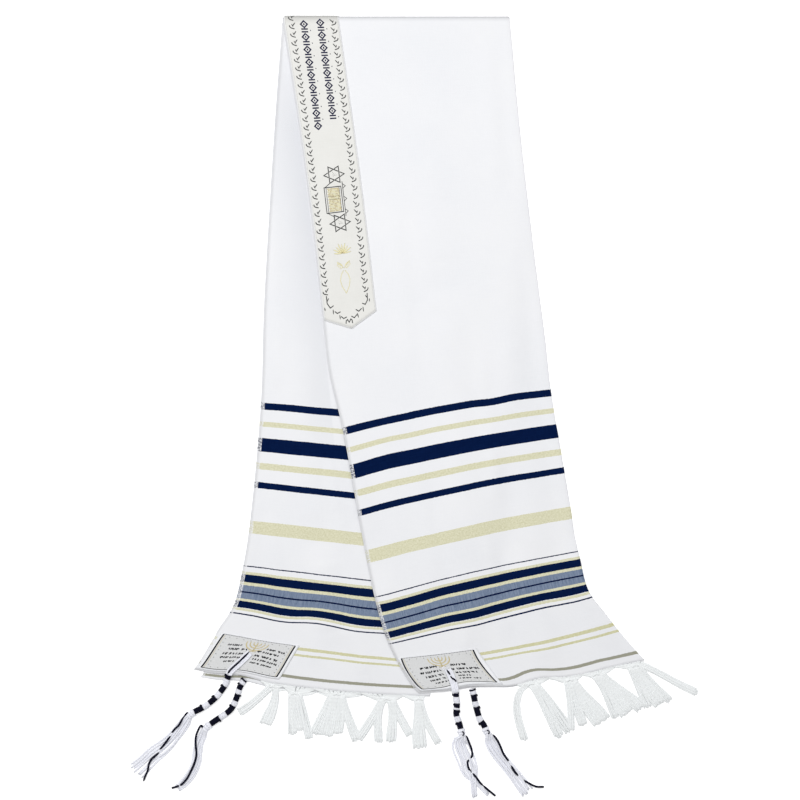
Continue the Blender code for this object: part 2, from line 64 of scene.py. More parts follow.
def setStage():
    x, y = (c * mm for c in stage["lookAt"])
    bpy.ops.object.camera_add(location=(x, y, stage["cameraHeight"]), rotation=(0, 0, 0))
    camera = bpy.context.object
    camera.data.lens = stage["lens"]
    camera.data.sensor_width = stage["sensor"]
    bpy.context.scene.camera = camera
    bpy.context.scene.view_settings.view_transform = "Standard"

    bpy.ops.mesh.primitive_plane_add(size=stage["floorSize"], location=(0, 0, stage["floorHeight"]))
    floor = bpy.context.object
    floor.name = "studioFloor"
    bpy.ops.object.transform_apply(location=True, rotation=True, scale=True)
    paint = bpy.data.materials.new("studioFloor")
    paint.use_nodes = True
    shader = paint.node_tree.nodes["Principled BSDF"]
    shader.inputs["Base Color"].default_value = (*stage["floorColour"], 1)
    shader.inputs["Roughness"].default_value = 0.9
    shader.inputs["Specular IOR Level"].default_value = 0.1
    shader.inputs["Emission Color"].default_value = (1, 1, 1, 1)
    shader.inputs["Emission Strength"].default_value = stage["floorGlow"]
    floor.data.materials.append(paint)

    world = bpy.data.worlds.new("studioSky")
    bpy.context.scene.world = world
    world.use_nodes = True
    sky = world.node_tree.nodes["Background"]
    sky.inputs["Color"].default_value = (1, 1, 1, 1)
    sky.inputs["Strength"].default_value = stage["skyStrength"]

    for name, place, size, power in stage["lamps"]:
        bpy.ops.object.light_add(type="AREA", location=place)
        lamp = bpy.context.object
        lamp.name = name
        lamp.data.size = size
        lamp.data.energy = power
        lamp.rotation_euler = (-Vector(place)).to_track_quat("-Z", "Y").to_euler()
    return floor


floor = setStage()
print("stage set")

# shared effects

colours = {
    "whiteYarn": (0.81, 0.83, 0.835),
    "tasselWhite": (0.82, 0.83, 0.89),
    "tasselNavy": (0.0025, 0.003, 0.014),
    "threadNavy": (0.008, 0.010, 0.055),
    "threadGrey": (0.085, 0.085, 0.085),
    "threadGold": (0.66, 0.56, 0.30),
    "threadIvory": (0.75, 0.745, 0.715),
    "threadPaleGold": (0.84, 0.785, 0.49),
    "threadBlack": (0.006, 0.006, 0.009),
}


class NodeDesk:  # lays nodes out on a tree with little writing
    def __init__(self, tree):
        self.tree = tree

    def feed(self, socket, value):  # from another node's output, or a plain value
        if hasattr(value, "is_output"):
            self.tree.links.new(value, socket)
        else:
            socket.default_value = value

    def add(self, kind, settings=None, **inputs):
        node = self.tree.nodes.new(kind)
        for key, value in (settings or {}).items():
            setattr(node, key, value)
        for key, value in inputs.items():
            numbered = key[0] == "i" and key[1:].isdigit()
            self.feed(node.inputs[int(key[1:]) if numbered else key.replace("_", " ")], value)
        return node

    def math(self, operation, a, b=0.0):
        return self.add("ShaderNodeMath", {"operation": operation}, i0=a, i1=b).outputs[0]

    def times(self, first, *others):
        product = first
        for other in others:
            product = self.math("MULTIPLY", product, other)
        return product

    def fromMiddle(self, value, middle, halfWidth):  # how far inside a strip's nearer edge
        return self.math("SUBTRACT", halfWidth, self.math("ABSOLUTE", self.math("SUBTRACT", value, middle)))

    def mix(self, share, a, b):
        a, b = ((*tone, 1) if isinstance(tone, tuple) else tone for tone in (a, b))
        return self.add("ShaderNodeMix", {"data_type": "RGBA"}, i0=share, i6=a, i7=b).outputs[2]

    def range(self, value, low, high, toLow=0.0, toHigh=1.0):
        return self.add("ShaderNodeMapRange", None, i0=value, i1=low, i2=high, i3=toLow, i4=toHigh).outputs[0]

    def split(self, vector):
        return self.add("ShaderNodeSeparateXYZ", None, i0=vector).outputs

    def stretch(self, vector, *shares):
        node = self.add("ShaderNodeVectorMath", {"operation": "MULTIPLY"}, i0=vector, i1=shares)
        return node.outputs[0]

    def noise(self, vector, scale, detail=1.0):
        node = self.add("ShaderNodeTexNoise", None, Vector=vector, Scale=scale, Detail=detail)
        return node.outputs["Fac"]

    def uv(self, name):
        return self.add("ShaderNodeUVMap", {"uv_map": name}).outputs[0]


def newGroup(name, vectorName, **shares):
    group = bpy.data.node_groups.new(name, "ShaderNodeTree")
    group.interface.new_socket(vectorName, in_out="INPUT", socket_type="NodeSocketVector")
    for socketName, value in shares.items():
        socket = group.interface.new_socket(socketName, in_out="INPUT", socket_type="NodeSocketFloat")
        socket.default_value = value
    for socketName in ("Height", "Tone"):
        group.interface.new_socket(socketName, in_out="OUTPUT", socket_type="NodeSocketFloat")
    desk = NodeDesk(group)
    return group, desk, desk.add("NodeGroupInput").outputs, desk.add("NodeGroupOutput").inputs


def makeWeaveGroup():  # plain weave: warp and weft threads by turns over and under, with slubs
    group, desk, source, sink = newGroup("plainWeave", "Cloth", Thread=0.0006, Slub=0.4)
    cloth = source["Cloth"]
    parts = desk.split(cloth)
    turn = desk.math("DIVIDE", math.pi, source["Thread"])
    warp, weft = (desk.math("SINE", desk.times(parts[i], turn)) for i in range(2))
    slubs = desk.noise(desk.stretch(cloth, 900, 70, 0), 1.0, 2.0)
    picks = desk.noise(desk.stretch(cloth, 60, 700, 0), 1.0, 2.0)
    uneven = desk.math("ADD", slubs, picks)
    height = desk.math("ADD", desk.times(warp, weft, 0.5), desk.times(uneven, source["Slub"]))
    desk.feed(sink["Height"], height)
    desk.feed(sink["Tone"], desk.range(uneven, 0.7, 1.3))
    return group


def makeTwistGroup():  # plies of a yarn turning round each other, read from around and along
    group, desk, source, sink = newGroup("yarnTwist", "Yarn", Lay=0.003, Plies=2.0)
    yarn = source["Yarn"]
    parts = desk.split(yarn)
    around = desk.times(parts[0], source["Plies"])
    turned = desk.math("ADD", around, desk.math("DIVIDE", parts[1], source["Lay"]))
    ridge = desk.math("ABSOLUTE", desk.math("SINE", desk.times(turned, math.pi)))
    fuzz = desk.noise(desk.stretch(yarn, 6, 300, 1), 2.0, 3.0)
    desk.feed(sink["Height"], desk.math("ADD", ridge, desk.times(fuzz, 0.6)))
    # painted shade: the tone is darker in the grooves between the plies
    desk.feed(sink["Tone"], desk.range(ridge, 0.0, 0.7))
    return group


weaveGroup = makeWeaveGroup()
twistGroup = makeTwistGroup()


def newFinish(name, roughness, sheen, specular=0.12):
    finish = bpy.data.materials.new(name)
    finish.use_nodes = True
    shader = finish.node_tree.nodes["Principled BSDF"]
    shader.inputs["Roughness"].default_value = roughness
    shader.inputs["Specular IOR Level"].default_value = specular
    shader.inputs["Sheen Weight"].default_value = sheen
    shader.inputs["Sheen Roughness"].default_value = 0.5
    return finish, NodeDesk(finish.node_tree), shader


def placeGroup(desk, group, **inputs):
    return desk.add("ShaderNodeGroup", {"node_tree": group}, **inputs).outputs


def raiseRelief(desk, shader, height, strength, depth):
    bump = desk.add("ShaderNodeBump", None, Strength=strength, Distance=depth, Height=height)
    desk.feed(shader.inputs["Normal"], bump.outputs[0])


# The woven bands, in mm up from the hem, each with its yarns: shares of navy, gold and grey-blue weft.
bands = {
    "navy": (1.0, 0.0, 0.0),
    "gold": (0.0, 1.0, 0.0),
    "greyBlue": (0.0, 0.0, 1.0),
    "olive": (0.52, 0.92, 0.0),
    "line": (1.0, 0.0, 0.0),
    "lower": [
        (11.7, 15.6, "olive"),
        (40.2, 43.5, "gold"),
        (48.2, 52.1, "gold"),
        (91.6, 93.6, "line"),
        (98.3, 101.7, "gold"),
        (102.0, 112.1, "navy"),
        (112.1, 115.4, "gold"),
        (115.8, 124.0, "greyBlue"),
        (124.0, 126.3, "line"),
        (126.3, 134.6, "greyBlue"),
        (135.0, 138.8, "gold"),
        (139.0, 149.6, "navy"),
        (149.6, 152.7, "gold"),
        (159.0, 161.0, "line"),
    ],
    "upper": [
        (205.2, 222.6, "gold"),
        (268.7, 277.9, "navy"),
        (294.8, 303.2, "gold"),
        (319.2, 337.4, "navy"),
        (353.3, 360.4, "gold"),
        (376.1, 385.7, "navy"),
    ],
    "parting": 180,
    "top": 400,
}


def addBandRamp(desk, place, rows, low, high):
    ramp = desk.add("ShaderNodeValToRGB", None, Fac=desk.range(place, low * mm, high * mm))
    ramp.color_ramp.interpolation = "CONSTANT"
    elements = ramp.color_ramp.elements
    stops, last = [(0.0, (0, 0, 0))], 0.0
    for start, end, kind in rows:
        if start - last < 0.05:  # the bands touch
            stops.pop()
        stops += [((start - low) / (high - low), bands[kind]), ((end - low) / (high - low), (0, 0, 0))]
        last = end
    elements.remove(elements[1])
    elements[0].position, elements[0].color = stops[0][0], (*stops[0][1], 1)
    for position, shares in stops[1:]:
        elements.new(position).color = (*shares, 1)
    return ramp.outputs[0]


# Tones are the darker and the lighter end of a yarn's mottling; lengths are in m.
shawlLook = {
    "thread": 0.00062,
    "slub": 0.45,
    "relief": (0.35, 0.0003),  # strength and depth
    # how far a band's edge wanders from thread to thread, then over a stretch of the cloth, and how often
    "ragged": (0.00028, 900),
    "drift": (0.0006, 14),
    "selvedge": 0.0034,
    "tufts": 620,
    "mottles": ((1900, 420), (420, 520), (620, 60)),  # fine, coarse and in streaks: for each m, across and up
    "clouds": 9,
    "gold": ((0.54, 0.525, 0.345), (0.715, 0.70, 0.54)),
    "hemGold": ((0.50, 0.483, 0.272), (0.65, 0.64, 0.442)),
    "hemGoldShare": (0.3, 1.0),  # its share at the olive line and at the gold ones over it
    "hemGoldFrom": (0.02, 0.03),  # up from the hem, where one share turns into the other
    "hemGoldEnd": 0.06,
    "blue": ((0.117, 0.16, 0.241), (0.227, 0.274, 0.373)),
    "white": ((0.738, 0.747, 0.773), (0.77, 0.773, 0.79)),
    "raisedWhite": (0.80, 0.805, 0.825),
    "navy": ((0.001, 0.006, 0.036), (0.002, 0.010, 0.052)),
    "crease": (0.888, 0.899),  # up from the hem, from where the painted shade darkens it to the fold across
    "paintedCreaseShade": (0.14, 0.14, 0.15),
    "shaded": (0.645, 0.655, 0.685),
    # the upper fall's left edge: x and y of its top, its slope there and how it bends
    "edgeTop": (-0.161, 0.504),
    "edgeSlope": 0.1615,
    "edgeBend": 0.071,
    "shadeReach": 0.062,
    "shadeDeepest": 0.004,
    "shadeStart": (0.001, 0.003),  # past the edge
    # down from the crease: where it comes in, grows lighter and by how much, and goes out
    "shadeTopEnd": (0.01, 0.14),
    "shadeLighter": (0.26, 0.48, 1.0, 0.45),
    "shadeLowEnd": (0.60, 0.50),
}


def shadeBeside(desk):  # the under fall lies in soft shade beside the upper one's edge
    look = shawlLook
    left, top = look["edgeTop"]
    x, y, _ = desk.split(desk.add("ShaderNodeTexCoord").outputs["Object"])
    down = desk.math("SUBTRACT", top, y)
    slope = desk.math("SUBTRACT", look["edgeSlope"], desk.times(down, look["edgeBend"]))
    past = desk.math("SUBTRACT", desk.math("ADD", desk.times(down, slope), left), x)
    fading = desk.math("POWER", desk.range(past, look["shadeReach"], look["shadeDeepest"]), 1.3)
    lower = desk.range(down, *look["shadeLighter"])
    ends = desk.times(desk.range(down, *look["shadeTopEnd"]), desk.range(down, *look["shadeLowEnd"]))
    normal = desk.split(desk.add("ShaderNodeNewGeometry").outputs["Normal"])
    facesUp = desk.math("GREATER_THAN", normal[2], 0.0)
    return desk.times(desk.range(past, *look["shadeStart"]), fading, lower, ends, facesUp)


def makeShawlFinish(width):
    look = shawlLook
    finish, desk, shader = newFinish("shawlWeave", 0.9, 0.0, 0.02)
    uv = desk.uv("cloth")
    across, up, _ = desk.split(uv)
    weave = placeGroup(desk, weaveGroup, Cloth=uv, Thread=look["thread"], Slub=look["slub"])

    # the weft wanders a little, so a band's edges aren't ruled
    (ragged, often), (drift, seldom) = look["ragged"], look["drift"]
    place = desk.math("ADD", up, desk.range(desk.noise(uv, often), 0.3, 0.7, -ragged, ragged))
    place = desk.math("ADD", place, desk.range(desk.noise(uv, seldom, 2.0), 0.2, 0.8, -drift, drift))
    lower = addBandRamp(desk, place, bands["lower"], 0, bands["parting"])
    upper = addBandRamp(desk, place, bands["upper"], bands["parting"], bands["top"])
    isUpper = desk.math("GREATER_THAN", place, bands["parting"] * mm)
    yarns = desk.add("ShaderNodeSeparateColor", None, i0=desk.mix(isUpper, lower, upper))

    # at the selvedges the coloured wefts turn back between white ends
    inSelvedge = desk.math("LESS_THAN", desk.fromMiddle(across, width / 2, width / 2), look["selvedge"])
    tufts = desk.range(desk.noise(uv, look["tufts"]), 0.42, 0.58, 0.2, 1.0)
    kept = desk.math("SUBTRACT", 1.0, desk.times(inSelvedge, tufts))
    navy, gold, greyBlue = (desk.times(yarns.outputs[i], kept) for i in range(3))

    # gold yarn glints unevenly; grey-blue shows its white warp
    fine, coarse, streaks = (desk.noise(desk.stretch(uv, *shares, 0), 1.0) for shares in look["mottles"])
    grain = desk.range(fine, 0.35, 0.68, 0.0, 0.45)
    goldShare = desk.math("ADD", grain, desk.range(coarse, 0.32, 0.68, 0.0, 0.55))
    goldTone = desk.mix(goldShare, *look["gold"])
    nearHem = desk.range(place, *look["hemGoldFrom"], *look["hemGoldShare"])
    nearHem = desk.times(desk.math("LESS_THAN", place, look["hemGoldEnd"]), nearHem)
    goldTone = desk.mix(nearHem, goldTone, desk.mix(goldShare, *look["hemGold"]))
    grain = desk.range(fine, 0.38, 0.66, 0.0, 0.4)
    blueShare = desk.math("ADD", grain, desk.range(streaks, 0.34, 0.66, 0.0, 0.6))
    blueTone = desk.mix(blueShare, *look["blue"])

    whiteTone = desk.mix(desk.range(desk.noise(uv, look["clouds"], 3.0), 0.3, 0.7), *look["white"])
    whiteTone = desk.mix(desk.times(weave["Tone"], 0.35), whiteTone, look["raisedWhite"])
    paintedCreaseShade = desk.math("POWER", desk.range(up, *look["crease"]), 2.0)  # painted shade: the cloth darkens where it turns over the fold across
    whiteTone = desk.mix(desk.times(paintedCreaseShade, 0.8), whiteTone, look["paintedCreaseShade"])
    whiteTone = desk.mix(shadeBeside(desk), whiteTone, look["shaded"])
    navyTone = desk.mix(weave["Tone"], *look["navy"])

    colour = desk.mix(gold, whiteTone, goldTone)
    colour = desk.mix(greyBlue, colour, blueTone)
    colour = desk.mix(navy, colour, navyTone)
    desk.feed(shader.inputs["Base Color"], colour)
    desk.feed(shader.inputs["Roughness"], desk.range(gold, 0, 1, 0.88, 0.55))
    raiseRelief(desk, shader, weave["Height"], *look["relief"])
    return finish


satinLook = {
    "thread": 0.0005,  # m
    "slub": 0.6,
    "relief": (0.35, 0.0002),
    "clouds": 30,
    "flecks": 900,
    "neckband": ((0.665, 0.662, 0.635), (0.70, 0.697, 0.672)),
    "neckbandRaised": 1.08,
    "crease": (0.008, -0.006),  # m down from the crease, from where the painted shade darkens it to its darkest
    "paintedCreaseShade": (0.13, 0.13, 0.13),
    "paintedRimLightSide": (0.0022, 0.0009),  # m in from the sides, where the painted light on the rim starts and is full
    "paintedRimLightFoot": (0.0026, 0.0010),
    "paintedRimLight": (0.84, 0.842, 0.85),
    "patch": ((0.55, 0.555, 0.56), (0.70, 0.705, 0.705)),
    "patchBorder": (0.80, 0.81, 0.83),
}


def layWeave(name, sheen):
    finish, desk, shader = newFinish(name, 0.5, sheen)
    uv = desk.uv("cloth")
    weave = placeGroup(desk, weaveGroup, Cloth=uv, Thread=satinLook["thread"], Slub=satinLook["slub"])
    raiseRelief(desk, shader, weave["Height"], *satinLook["relief"])
    return finish, desk, shader, uv, weave["Tone"]


def makeNeckbandFinish():
    look = satinLook
    finish, desk, shader, uv, tone = layWeave("ivorySatin", 0.3)
    across, along, _ = desk.split(uv)
    colour = desk.mix(desk.range(desk.noise(uv, look["clouds"], 3.0), 0.3, 0.7), *look["neckband"])
    raised = tuple(c * look["neckbandRaised"] for c in look["neckband"][1])
    colour = desk.mix(desk.times(tone, 0.3), colour, raised)
    # painted shade where the band turns over the crease
    paintedCreaseShade = desk.math("POWER", desk.range(along, *look["crease"]), 2.0)
    colour = desk.mix(desk.times(paintedCreaseShade, 0.75), colour, look["paintedCreaseShade"])
    # painted light: the rim is lightened towards white against the shade its edges take
    width, corners, point = (neckband[key] * mm for key in ("width", "cornersDown", "point"))
    inward = desk.fromMiddle(across, width / 2, width / 2)
    foot = desk.math("ADD", corners, desk.times(inward, 2 * point / width))
    left = desk.math("SUBTRACT", foot, along)
    paintedRimLight = desk.math("MAXIMUM", desk.range(inward, *look["paintedRimLightSide"]), desk.range(left, *look["paintedRimLightFoot"]))
    colour = desk.mix(desk.times(paintedRimLight, 0.85), colour, look["paintedRimLight"])
    desk.feed(shader.inputs["Base Color"], colour)
    desk.feed(shader.inputs["Roughness"], desk.range(tone, 0, 1, 0.42, 0.6))
    return finish


def makePatchFinish():
    look = satinLook
    finish, desk, shader, uv, tone = layWeave("patchSatin", 0.2)
    x, y, _ = desk.split(uv)
    width, inset, middle, halfHeight = (c * mm for c in (patches["size"][0], *patches["ground"]))
    insideX = desk.math("GREATER_THAN", desk.fromMiddle(x, width / 2, width / 2), inset)
    insideY = desk.math("GREATER_THAN", desk.fromMiddle(y, middle, halfHeight), 0.0)
    ground = desk.mix(desk.range(desk.noise(uv, look["flecks"], 2.0), 0.35, 0.65), *look["patch"])
    colour = desk.mix(desk.times(insideX, insideY), look["patchBorder"], ground)
    desk.feed(shader.inputs["Base Color"], colour)
    desk.feed(shader.inputs["Roughness"], desk.range(tone, 0, 1, 0.45, 0.62))
    return finish


def makeYarnFinish(name, tone, lay, plies, dark):  # dark is the share of its tone kept in the painted shade between the plies
    isPale = tone[0] > 0.3
    finish, desk, shader = newFinish(name, 0.9, 0.1 if isPale else 0.0)
    twist = placeGroup(desk, twistGroup, Yarn=desk.uv("yarn"), Lay=lay, Plies=plies)
    desk.feed(shader.inputs["Base Color"], desk.mix(twist["Tone"], tuple(c * dark for c in tone), tone))
    desk.feed(shader.inputs["Roughness"], desk.range(twist["Tone"], 0, 1, 0.9, 0.75))
    raiseRelief(desk, shader, twist["Height"], 0.6, 0.0003)
    return finish


# the lie of the shawl: every piece takes its place from here

cut = {"width": 0.56, "length": 1.80, "half": 893}  # the flat cloth in m, and crease to hem in mm
lie = {
    "wall": 1.0,  # mm, the room of one ply
    "plyGap": 0.5,
    "foldGap": 1.9,
    "foldReach": 0.07,
    "seam": 0.3,
    "creaseInside": 1.6,
    "creaseSpread": 60,
    "stepStart": 28,
    "stepDown": 40,
    # up from the hem, left end x and y, right end x and y, bow of the middle; all mm
    "front": [
        (893, -161, 504, 133, 504, 0.0),
        (766, -141, 375, 143, 388, 1.5),
        (639, -123, 243, 156, 269, 3.0),
        (512, -108, 110, 171, 149, 4.0),
        (448, -100, 44, 179, 87, 4.5),
        (385, -83, -27, 186, 23, 5.0),
        (222, -54, -186, 211, -129, 3.5),
        (149, -39, -255, 223, -197, 3.0),
        (103, -26, -299, 234, -236, 0.5),
        (52, -11, -331, 266, -280, -7.5),
        (16, 7, -359, 297, -316, -6.5),
        (0, 16, -368, 308, -328, -7.5),
    ],
    "back": [
        (893, -161, 504, 133, 504, 0.0),
        (766, -170, 383, 122, 376, 0.5),
        (639, -178, 256, 111, 243, 0.5),
        (512, -185, 130, 100, 110, 1.0),
        (385, -189, 5.5, 89, -21.5, 1.0),
        (222, -203, -148, 67, -179, 1.0),
        (149, -214, -216.5, 55, -246, -1.5),
        (103, -225, -258, 46, -292, -3.0),
        (52, -251, -297.5, 38, -331, -2.0),
        (16, -270, -329, 32, -362, -6.0),
        (0, -278, -340, 29, -375, -7.5),
    ],
    # soft crests: from x and y, to x and y, height, half width; all mm
    "backCrests": [
        (-136, 60, -124, -150, 2.4, 30),
        (-112, -200, -102, -290, 3.2, 30),
        (-206, -120, -216, -225, 2.0, 26),
        (-74, -285, -50, -340, 2.4, 26),
        (-236, 380, -222, 120, 0.9, 22),
        (-176, 250, -168, 40, 1.1, 18),
        (-178, -150, -170, -262, 1.3, 16),
        (-96, -70, -84, -180, 1.0, 13),
        (-102, -72, -92, -132, 1.0, 8),
        (-140, -270, -118, -330, 1.4, 15),
    ],
    "frontLifts": [
        (-84, -20, -62, -150, 2.4, 34),
        (-34, -230, -20, -290, 2.2, 26),
    ],
    "frontCrests": [
        (44, 120, 78, -170, 3.0, 40),
        (136, 90, 168, -190, 2.2, 34),
        (146, -205, 184, -325, 3.2, 30),
        (216, -190, 256, -290, 2.6, 28),
        (26, 380, 40, 190, 1.8, 40),
        (104, 470, 116, 300, 1.3, 22),
        (-20, 250, 6, 60, 1.4, 20),
        (96, 60, 116, -110, 1.3, 18),
        (10, -70, 34, -230, 1.5, 20),
        (196, -30, 212, -150, 1.2, 16),
        (106, -180, 128, -290, 1.5, 17),
        (60, -230, 78, -310, 1.1, 14),
    ],
    # small slides of the cloth in its own plane: fall, across, up, reach across, reach up in mm, slide in y
    "slides": [
        ("back", 0.20, 0, 0.14, 60, 4.0),
        ("back", 0.23, 96, 0.13, 60, -1.8),
        ("back", 0.42, 98, 0.15, 60, 2.6),
        ("back", 0.62, 96, 0.14, 50, -1.2),
        ("front", 0.22, 0, 0.12, 40, 2.5),
        ("front", 0.41, 12, 0.10, 34, -3.6),
        ("front", 0.54, 14, 0.10, 36, 3.2),
        ("front", 0.72, 14, 0.14, 36, -2.4),
        ("front", 0.45, 96, 0.16, 50, -1.6),
        ("front", 0.66, 98, 0.14, 50, -0.4),
        ("front", 0.94, 100, 0.22, 34, -2.6),
        ("front", 0.03, 152, 0.11, 40, -0.8),
        ("front", 0.13, 145, 0.20, 44, -2.2),
        ("front", 0.72, 384, 0.12, 50, -1.8),
        ("front", 0.18, 335, 0.14, 70, 1.2),
        ("back", 0.45, 273, 0.70, 34, -2.0),
        ("back", 0.30, 162, 0.70, 14, 1.2),
    ],
    "ripple": 0.55,  # mm, height of the small unevenness all over
    "ripples": ((46, 95, 3.1), (17, 34, 7.7)),  # slow and fine: size across, size up, its own place
    # how the under ply lies past the upper one near its open corner: out at the side, then near the hem along
    # it and out of it, and how far the hem itself is drawn back; mm
    "frontSlip": (1.5, 0, 2.5, 0),
    "backSlip": (2.0, 9, 18, 9),
    "hemSlipReach": 70,
    "hemTurn": 14,
}
underSide = {"front": -1, "back": 1}
flatStack = 2 * lie["wall"] + lie["plyGap"]
creaseY = lie["front"][0][2]
creaseRadius = lie["creaseInside"] + flatStack / 2
creaseZ = flatStack / 2 + creaseRadius


def ease(share):
    share = min(1.0, max(0.0, share))
    return share * share * (3 - 2 * share)


def along(knots, values, at):  # the smooth curve through the table's values
    rising = knots[-1] > knots[0]
    last = len(knots) - 2
    span = next((i for i in range(last) if (at < knots[i + 1]) == rising), last)
    slopes = []
    for i in (span, span + 1):
        low, high = max(i - 1, 0), min(i + 1, last + 1)
        slopes.append((values[high] - values[low]) / (knots[high] - knots[low]))
    width = knots[span + 1] - knots[span]
    t = min(1.0, max(0.0, (at - knots[span]) / width))
    return (
        (2 * t**3 - 3 * t**2 + 1) * values[span]
        + (t**3 - 2 * t**2 + t) * width * slopes[0]
        + (3 * t**2 - 2 * t**3) * values[span + 1]
        + (t**3 - t**2) * width * slopes[1]
    )


tables = {fall: [list(column) for column in zip(*lie[fall])] for fall in ("front", "back")}


def lineAt(fall, up):  # one line of cloth from side to side
    ups = tables[fall][0]
    leftX, leftY, rightX, rightY, bow = (along(ups, tables[fall][i], up) for i in range(1, 6))
    left, right = Vector((leftX, leftY, 0)), Vector((rightX, rightY, 0))
    sideways = (right - left).normalized()
    return {"fall": fall, "up": up, "left": left, "right": right, "bow": bow, "sideways": sideways}


def crestHeight(crests, x, y):
    total = 0.0
    for fromX, fromY, toX, toY, height, halfWidth in crests:
        if y > max(fromY, toY) + halfWidth or y < min(fromY, toY) - halfWidth:
            continue
        start = Vector((fromX, fromY))
        run = Vector((toX, toY)) - start
        offset = Vector((x, y)) - start
        share = min(1.0, max(0.0, offset.dot(run) / run.length_squared))
        distance = (offset - run * share).length
        if distance < halfWidth:
            fade = ease(2.2 * math.sin(math.pi * (0.08 + 0.84 * share)))
            total += height * ease(1 - distance / halfWidth) * fade
    return total


def ripple(x, y):
    slow, fine = (noise.noise(Vector((x / wide, y / tall, layer))) for wide, tall, layer in lie["ripples"])
    return lie["ripple"] * max(0.0, 0.5 + 0.5 * slow + 0.25 * fine)


def heightsAt(fall, x, y, across):  # mm, the underside's height and the air between the plies
    settled = ease((creaseY - y) / lie["creaseSpread"])
    crests = lie["frontCrests"] if fall == "front" else lie["backCrests"]
    atFold = ease((across - 1 + lie["foldReach"]) / lie["foldReach"])
    loft = (crestHeight(crests, x, y) + ripple(x, y) * (1 - atFold)) * settled
    gap = lie["plyGap"] + loft + (lie["foldGap"] - lie["plyGap"]) * atFold * settled
    if fall == "back":
        return 0.0, gap
    backRight = along(tables["back"][4], tables["back"][3], y)
    rest = flatStack + lie["foldGap"] - lie["plyGap"] + lie["seam"]
    rest *= 1 - ease((x - backRight - lie["stepStart"]) / lie["stepDown"])
    lift = crestHeight(lie["frontLifts"], x, y)
    low = 2 * creaseRadius + (rest - 2 * creaseRadius + lift) * settled
    return low, gap


def clothPoint(line, across, side, out=0.0):  # mm; side +1 is the ply that is outermost at the crease
    fall, up = line["fall"], line["up"]
    point = line["left"].lerp(line["right"], across)
    point.y += 4 * across * (1 - across) * line["bow"]
    for name, a, u, reachA, reachU, slide in lie["slides"]:
        if name == fall and abs(up - u) < reachU:
            point.y += slide * ease(1 - abs(across - a) / reachA) * ease(1 - abs(up - u) / reachU)
    x, y = point.x, point.y
    low, gap = heightsAt(fall, x, y, across)
    point -= line["sideways"] * across * (lie["foldGap"] / 2 + lie["wall"])
    if side == underSide[fall]:
        aside, alongHem, down, back = lie[fall + "Slip"]
        nearHem = ease(1 - up / lie["hemSlipReach"])
        outOfHem = Vector((line["sideways"].y, -line["sideways"].x, 0))
        point += line["sideways"] * (alongHem * nearHem - aside) * (1 - across)
        point += outOfHem * (down * nearHem - back * max(0.0, 1 - up / lie["hemTurn"])) * (1 - across)
    outward = 1 if fall == "front" else -1
    point.z = low + lie["wall"] + gap / 2 + outward * side * (gap / 2 + lie["wall"] / 2 + out)
    return point


def creasePoint(across, turn, side, out=0.0):  # the half turn that joins the falls
    start = clothPoint(lineAt("front", cut["half"]), across, side)
    radius = creaseRadius + side * (lie["plyGap"] / 2 + lie["wall"] / 2) + out
    angle = math.pi * turn
    return Vector((start.x, creaseY + radius * math.sin(angle), creaseZ + radius * math.cos(angle)))


# building helpers


def finishPiece(obj, slot, *nodes):
    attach(obj, "root")
    if nodes:
        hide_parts(*nodes)
    return obj


def meshObject(name, points, faces, finishes, uvs, uvName, tags=None):
    mesh = bpy.data.meshes.new(name)
    mesh.from_pydata([p * mm for p in points], [], faces)
    for finish in finishes:
        mesh.materials.append(finish)
    layer = mesh.uv_layers.new(name=uvName)
    layer.data.foreach_set("uv", [c for loop in mesh.loops for c in uvs[loop.vertex_index]])
    if tags:
        mesh.polygons.foreach_set("material_index", tags)
    mesh.shade_smooth()
    obj = bpy.data.objects.new(name, mesh)
    bpy.context.scene.collection.objects.link(obj)
    return obj


def applyWall(obj, thickness):
    bpy.ops.object.select_all(action="DESELECT")
    obj.select_set(True)
    bpy.context.view_layer.objects.active = obj
    wall = obj.modifiers.new("wall", "SOLIDIFY")
    wall.thickness = thickness * mm
    wall.offset = 0
    bpy.ops.object.modifier_apply(modifier=wall.name)


def buildSheet(name, lines, uvLines, thickness, finish):
    columns = len(lines[0])
    points = [p for line in lines for p in line]
    uvs = [uv for line in uvLines for uv in line]
    faces = []
    for r in range(len(lines) - 1):
        for c in range(columns - 1):
            i = r * columns + c
            faces.append((i, i + columns, i + columns + 1, i + 1))
    obj = meshObject(name, points, faces, [finish], uvs, "cloth")
    applyWall(obj, thickness)
    return obj


def foldOver(over, under, outward, steps):  # the round of the lengthwise fold, between two plies' ends
    centre = (over + under) / 2
    arm = over - centre
    return [
        centre + arm * math.cos(math.pi * i / steps) + outward * arm.length * math.sin(math.pi * i / steps)
        for i in range(1, steps)
    ]


# the shawl cloth

shawl = {
    "thickness": 0.8,  # mm
    "columns": 58,
    "rowStep": 5.0,
    "foldSteps": 6,
    "creaseSteps": 8,
    "creaseLength": 6,  # mm of cloth from a fall to the middle of the crease
}


def shawlLine(place, outward):  # one ply from its edge to the lengthwise fold, and the other one back
    n = shawl["columns"]
    first = [place(i / n, 1) for i in range(n + 1)]
    second = [place(1 - i / n, -1) for i in range(n + 1)]
    return first + foldOver(first[-1], second[0], outward, shawl["foldSteps"]) + second


def fallLines(fall):  # each line's points, from the crease down to the hem, with how far up it lies
    count = int(cut["half"] / shawl["rowStep"])
    found = []
    for i in range(count + 1):
        up = cut["half"] * (1 - i / count)
        line = lineAt(fall, up)
        found.append((shawlLine(lambda a, s: clothPoint(line, a, s), line["sideways"]), up))
    return found


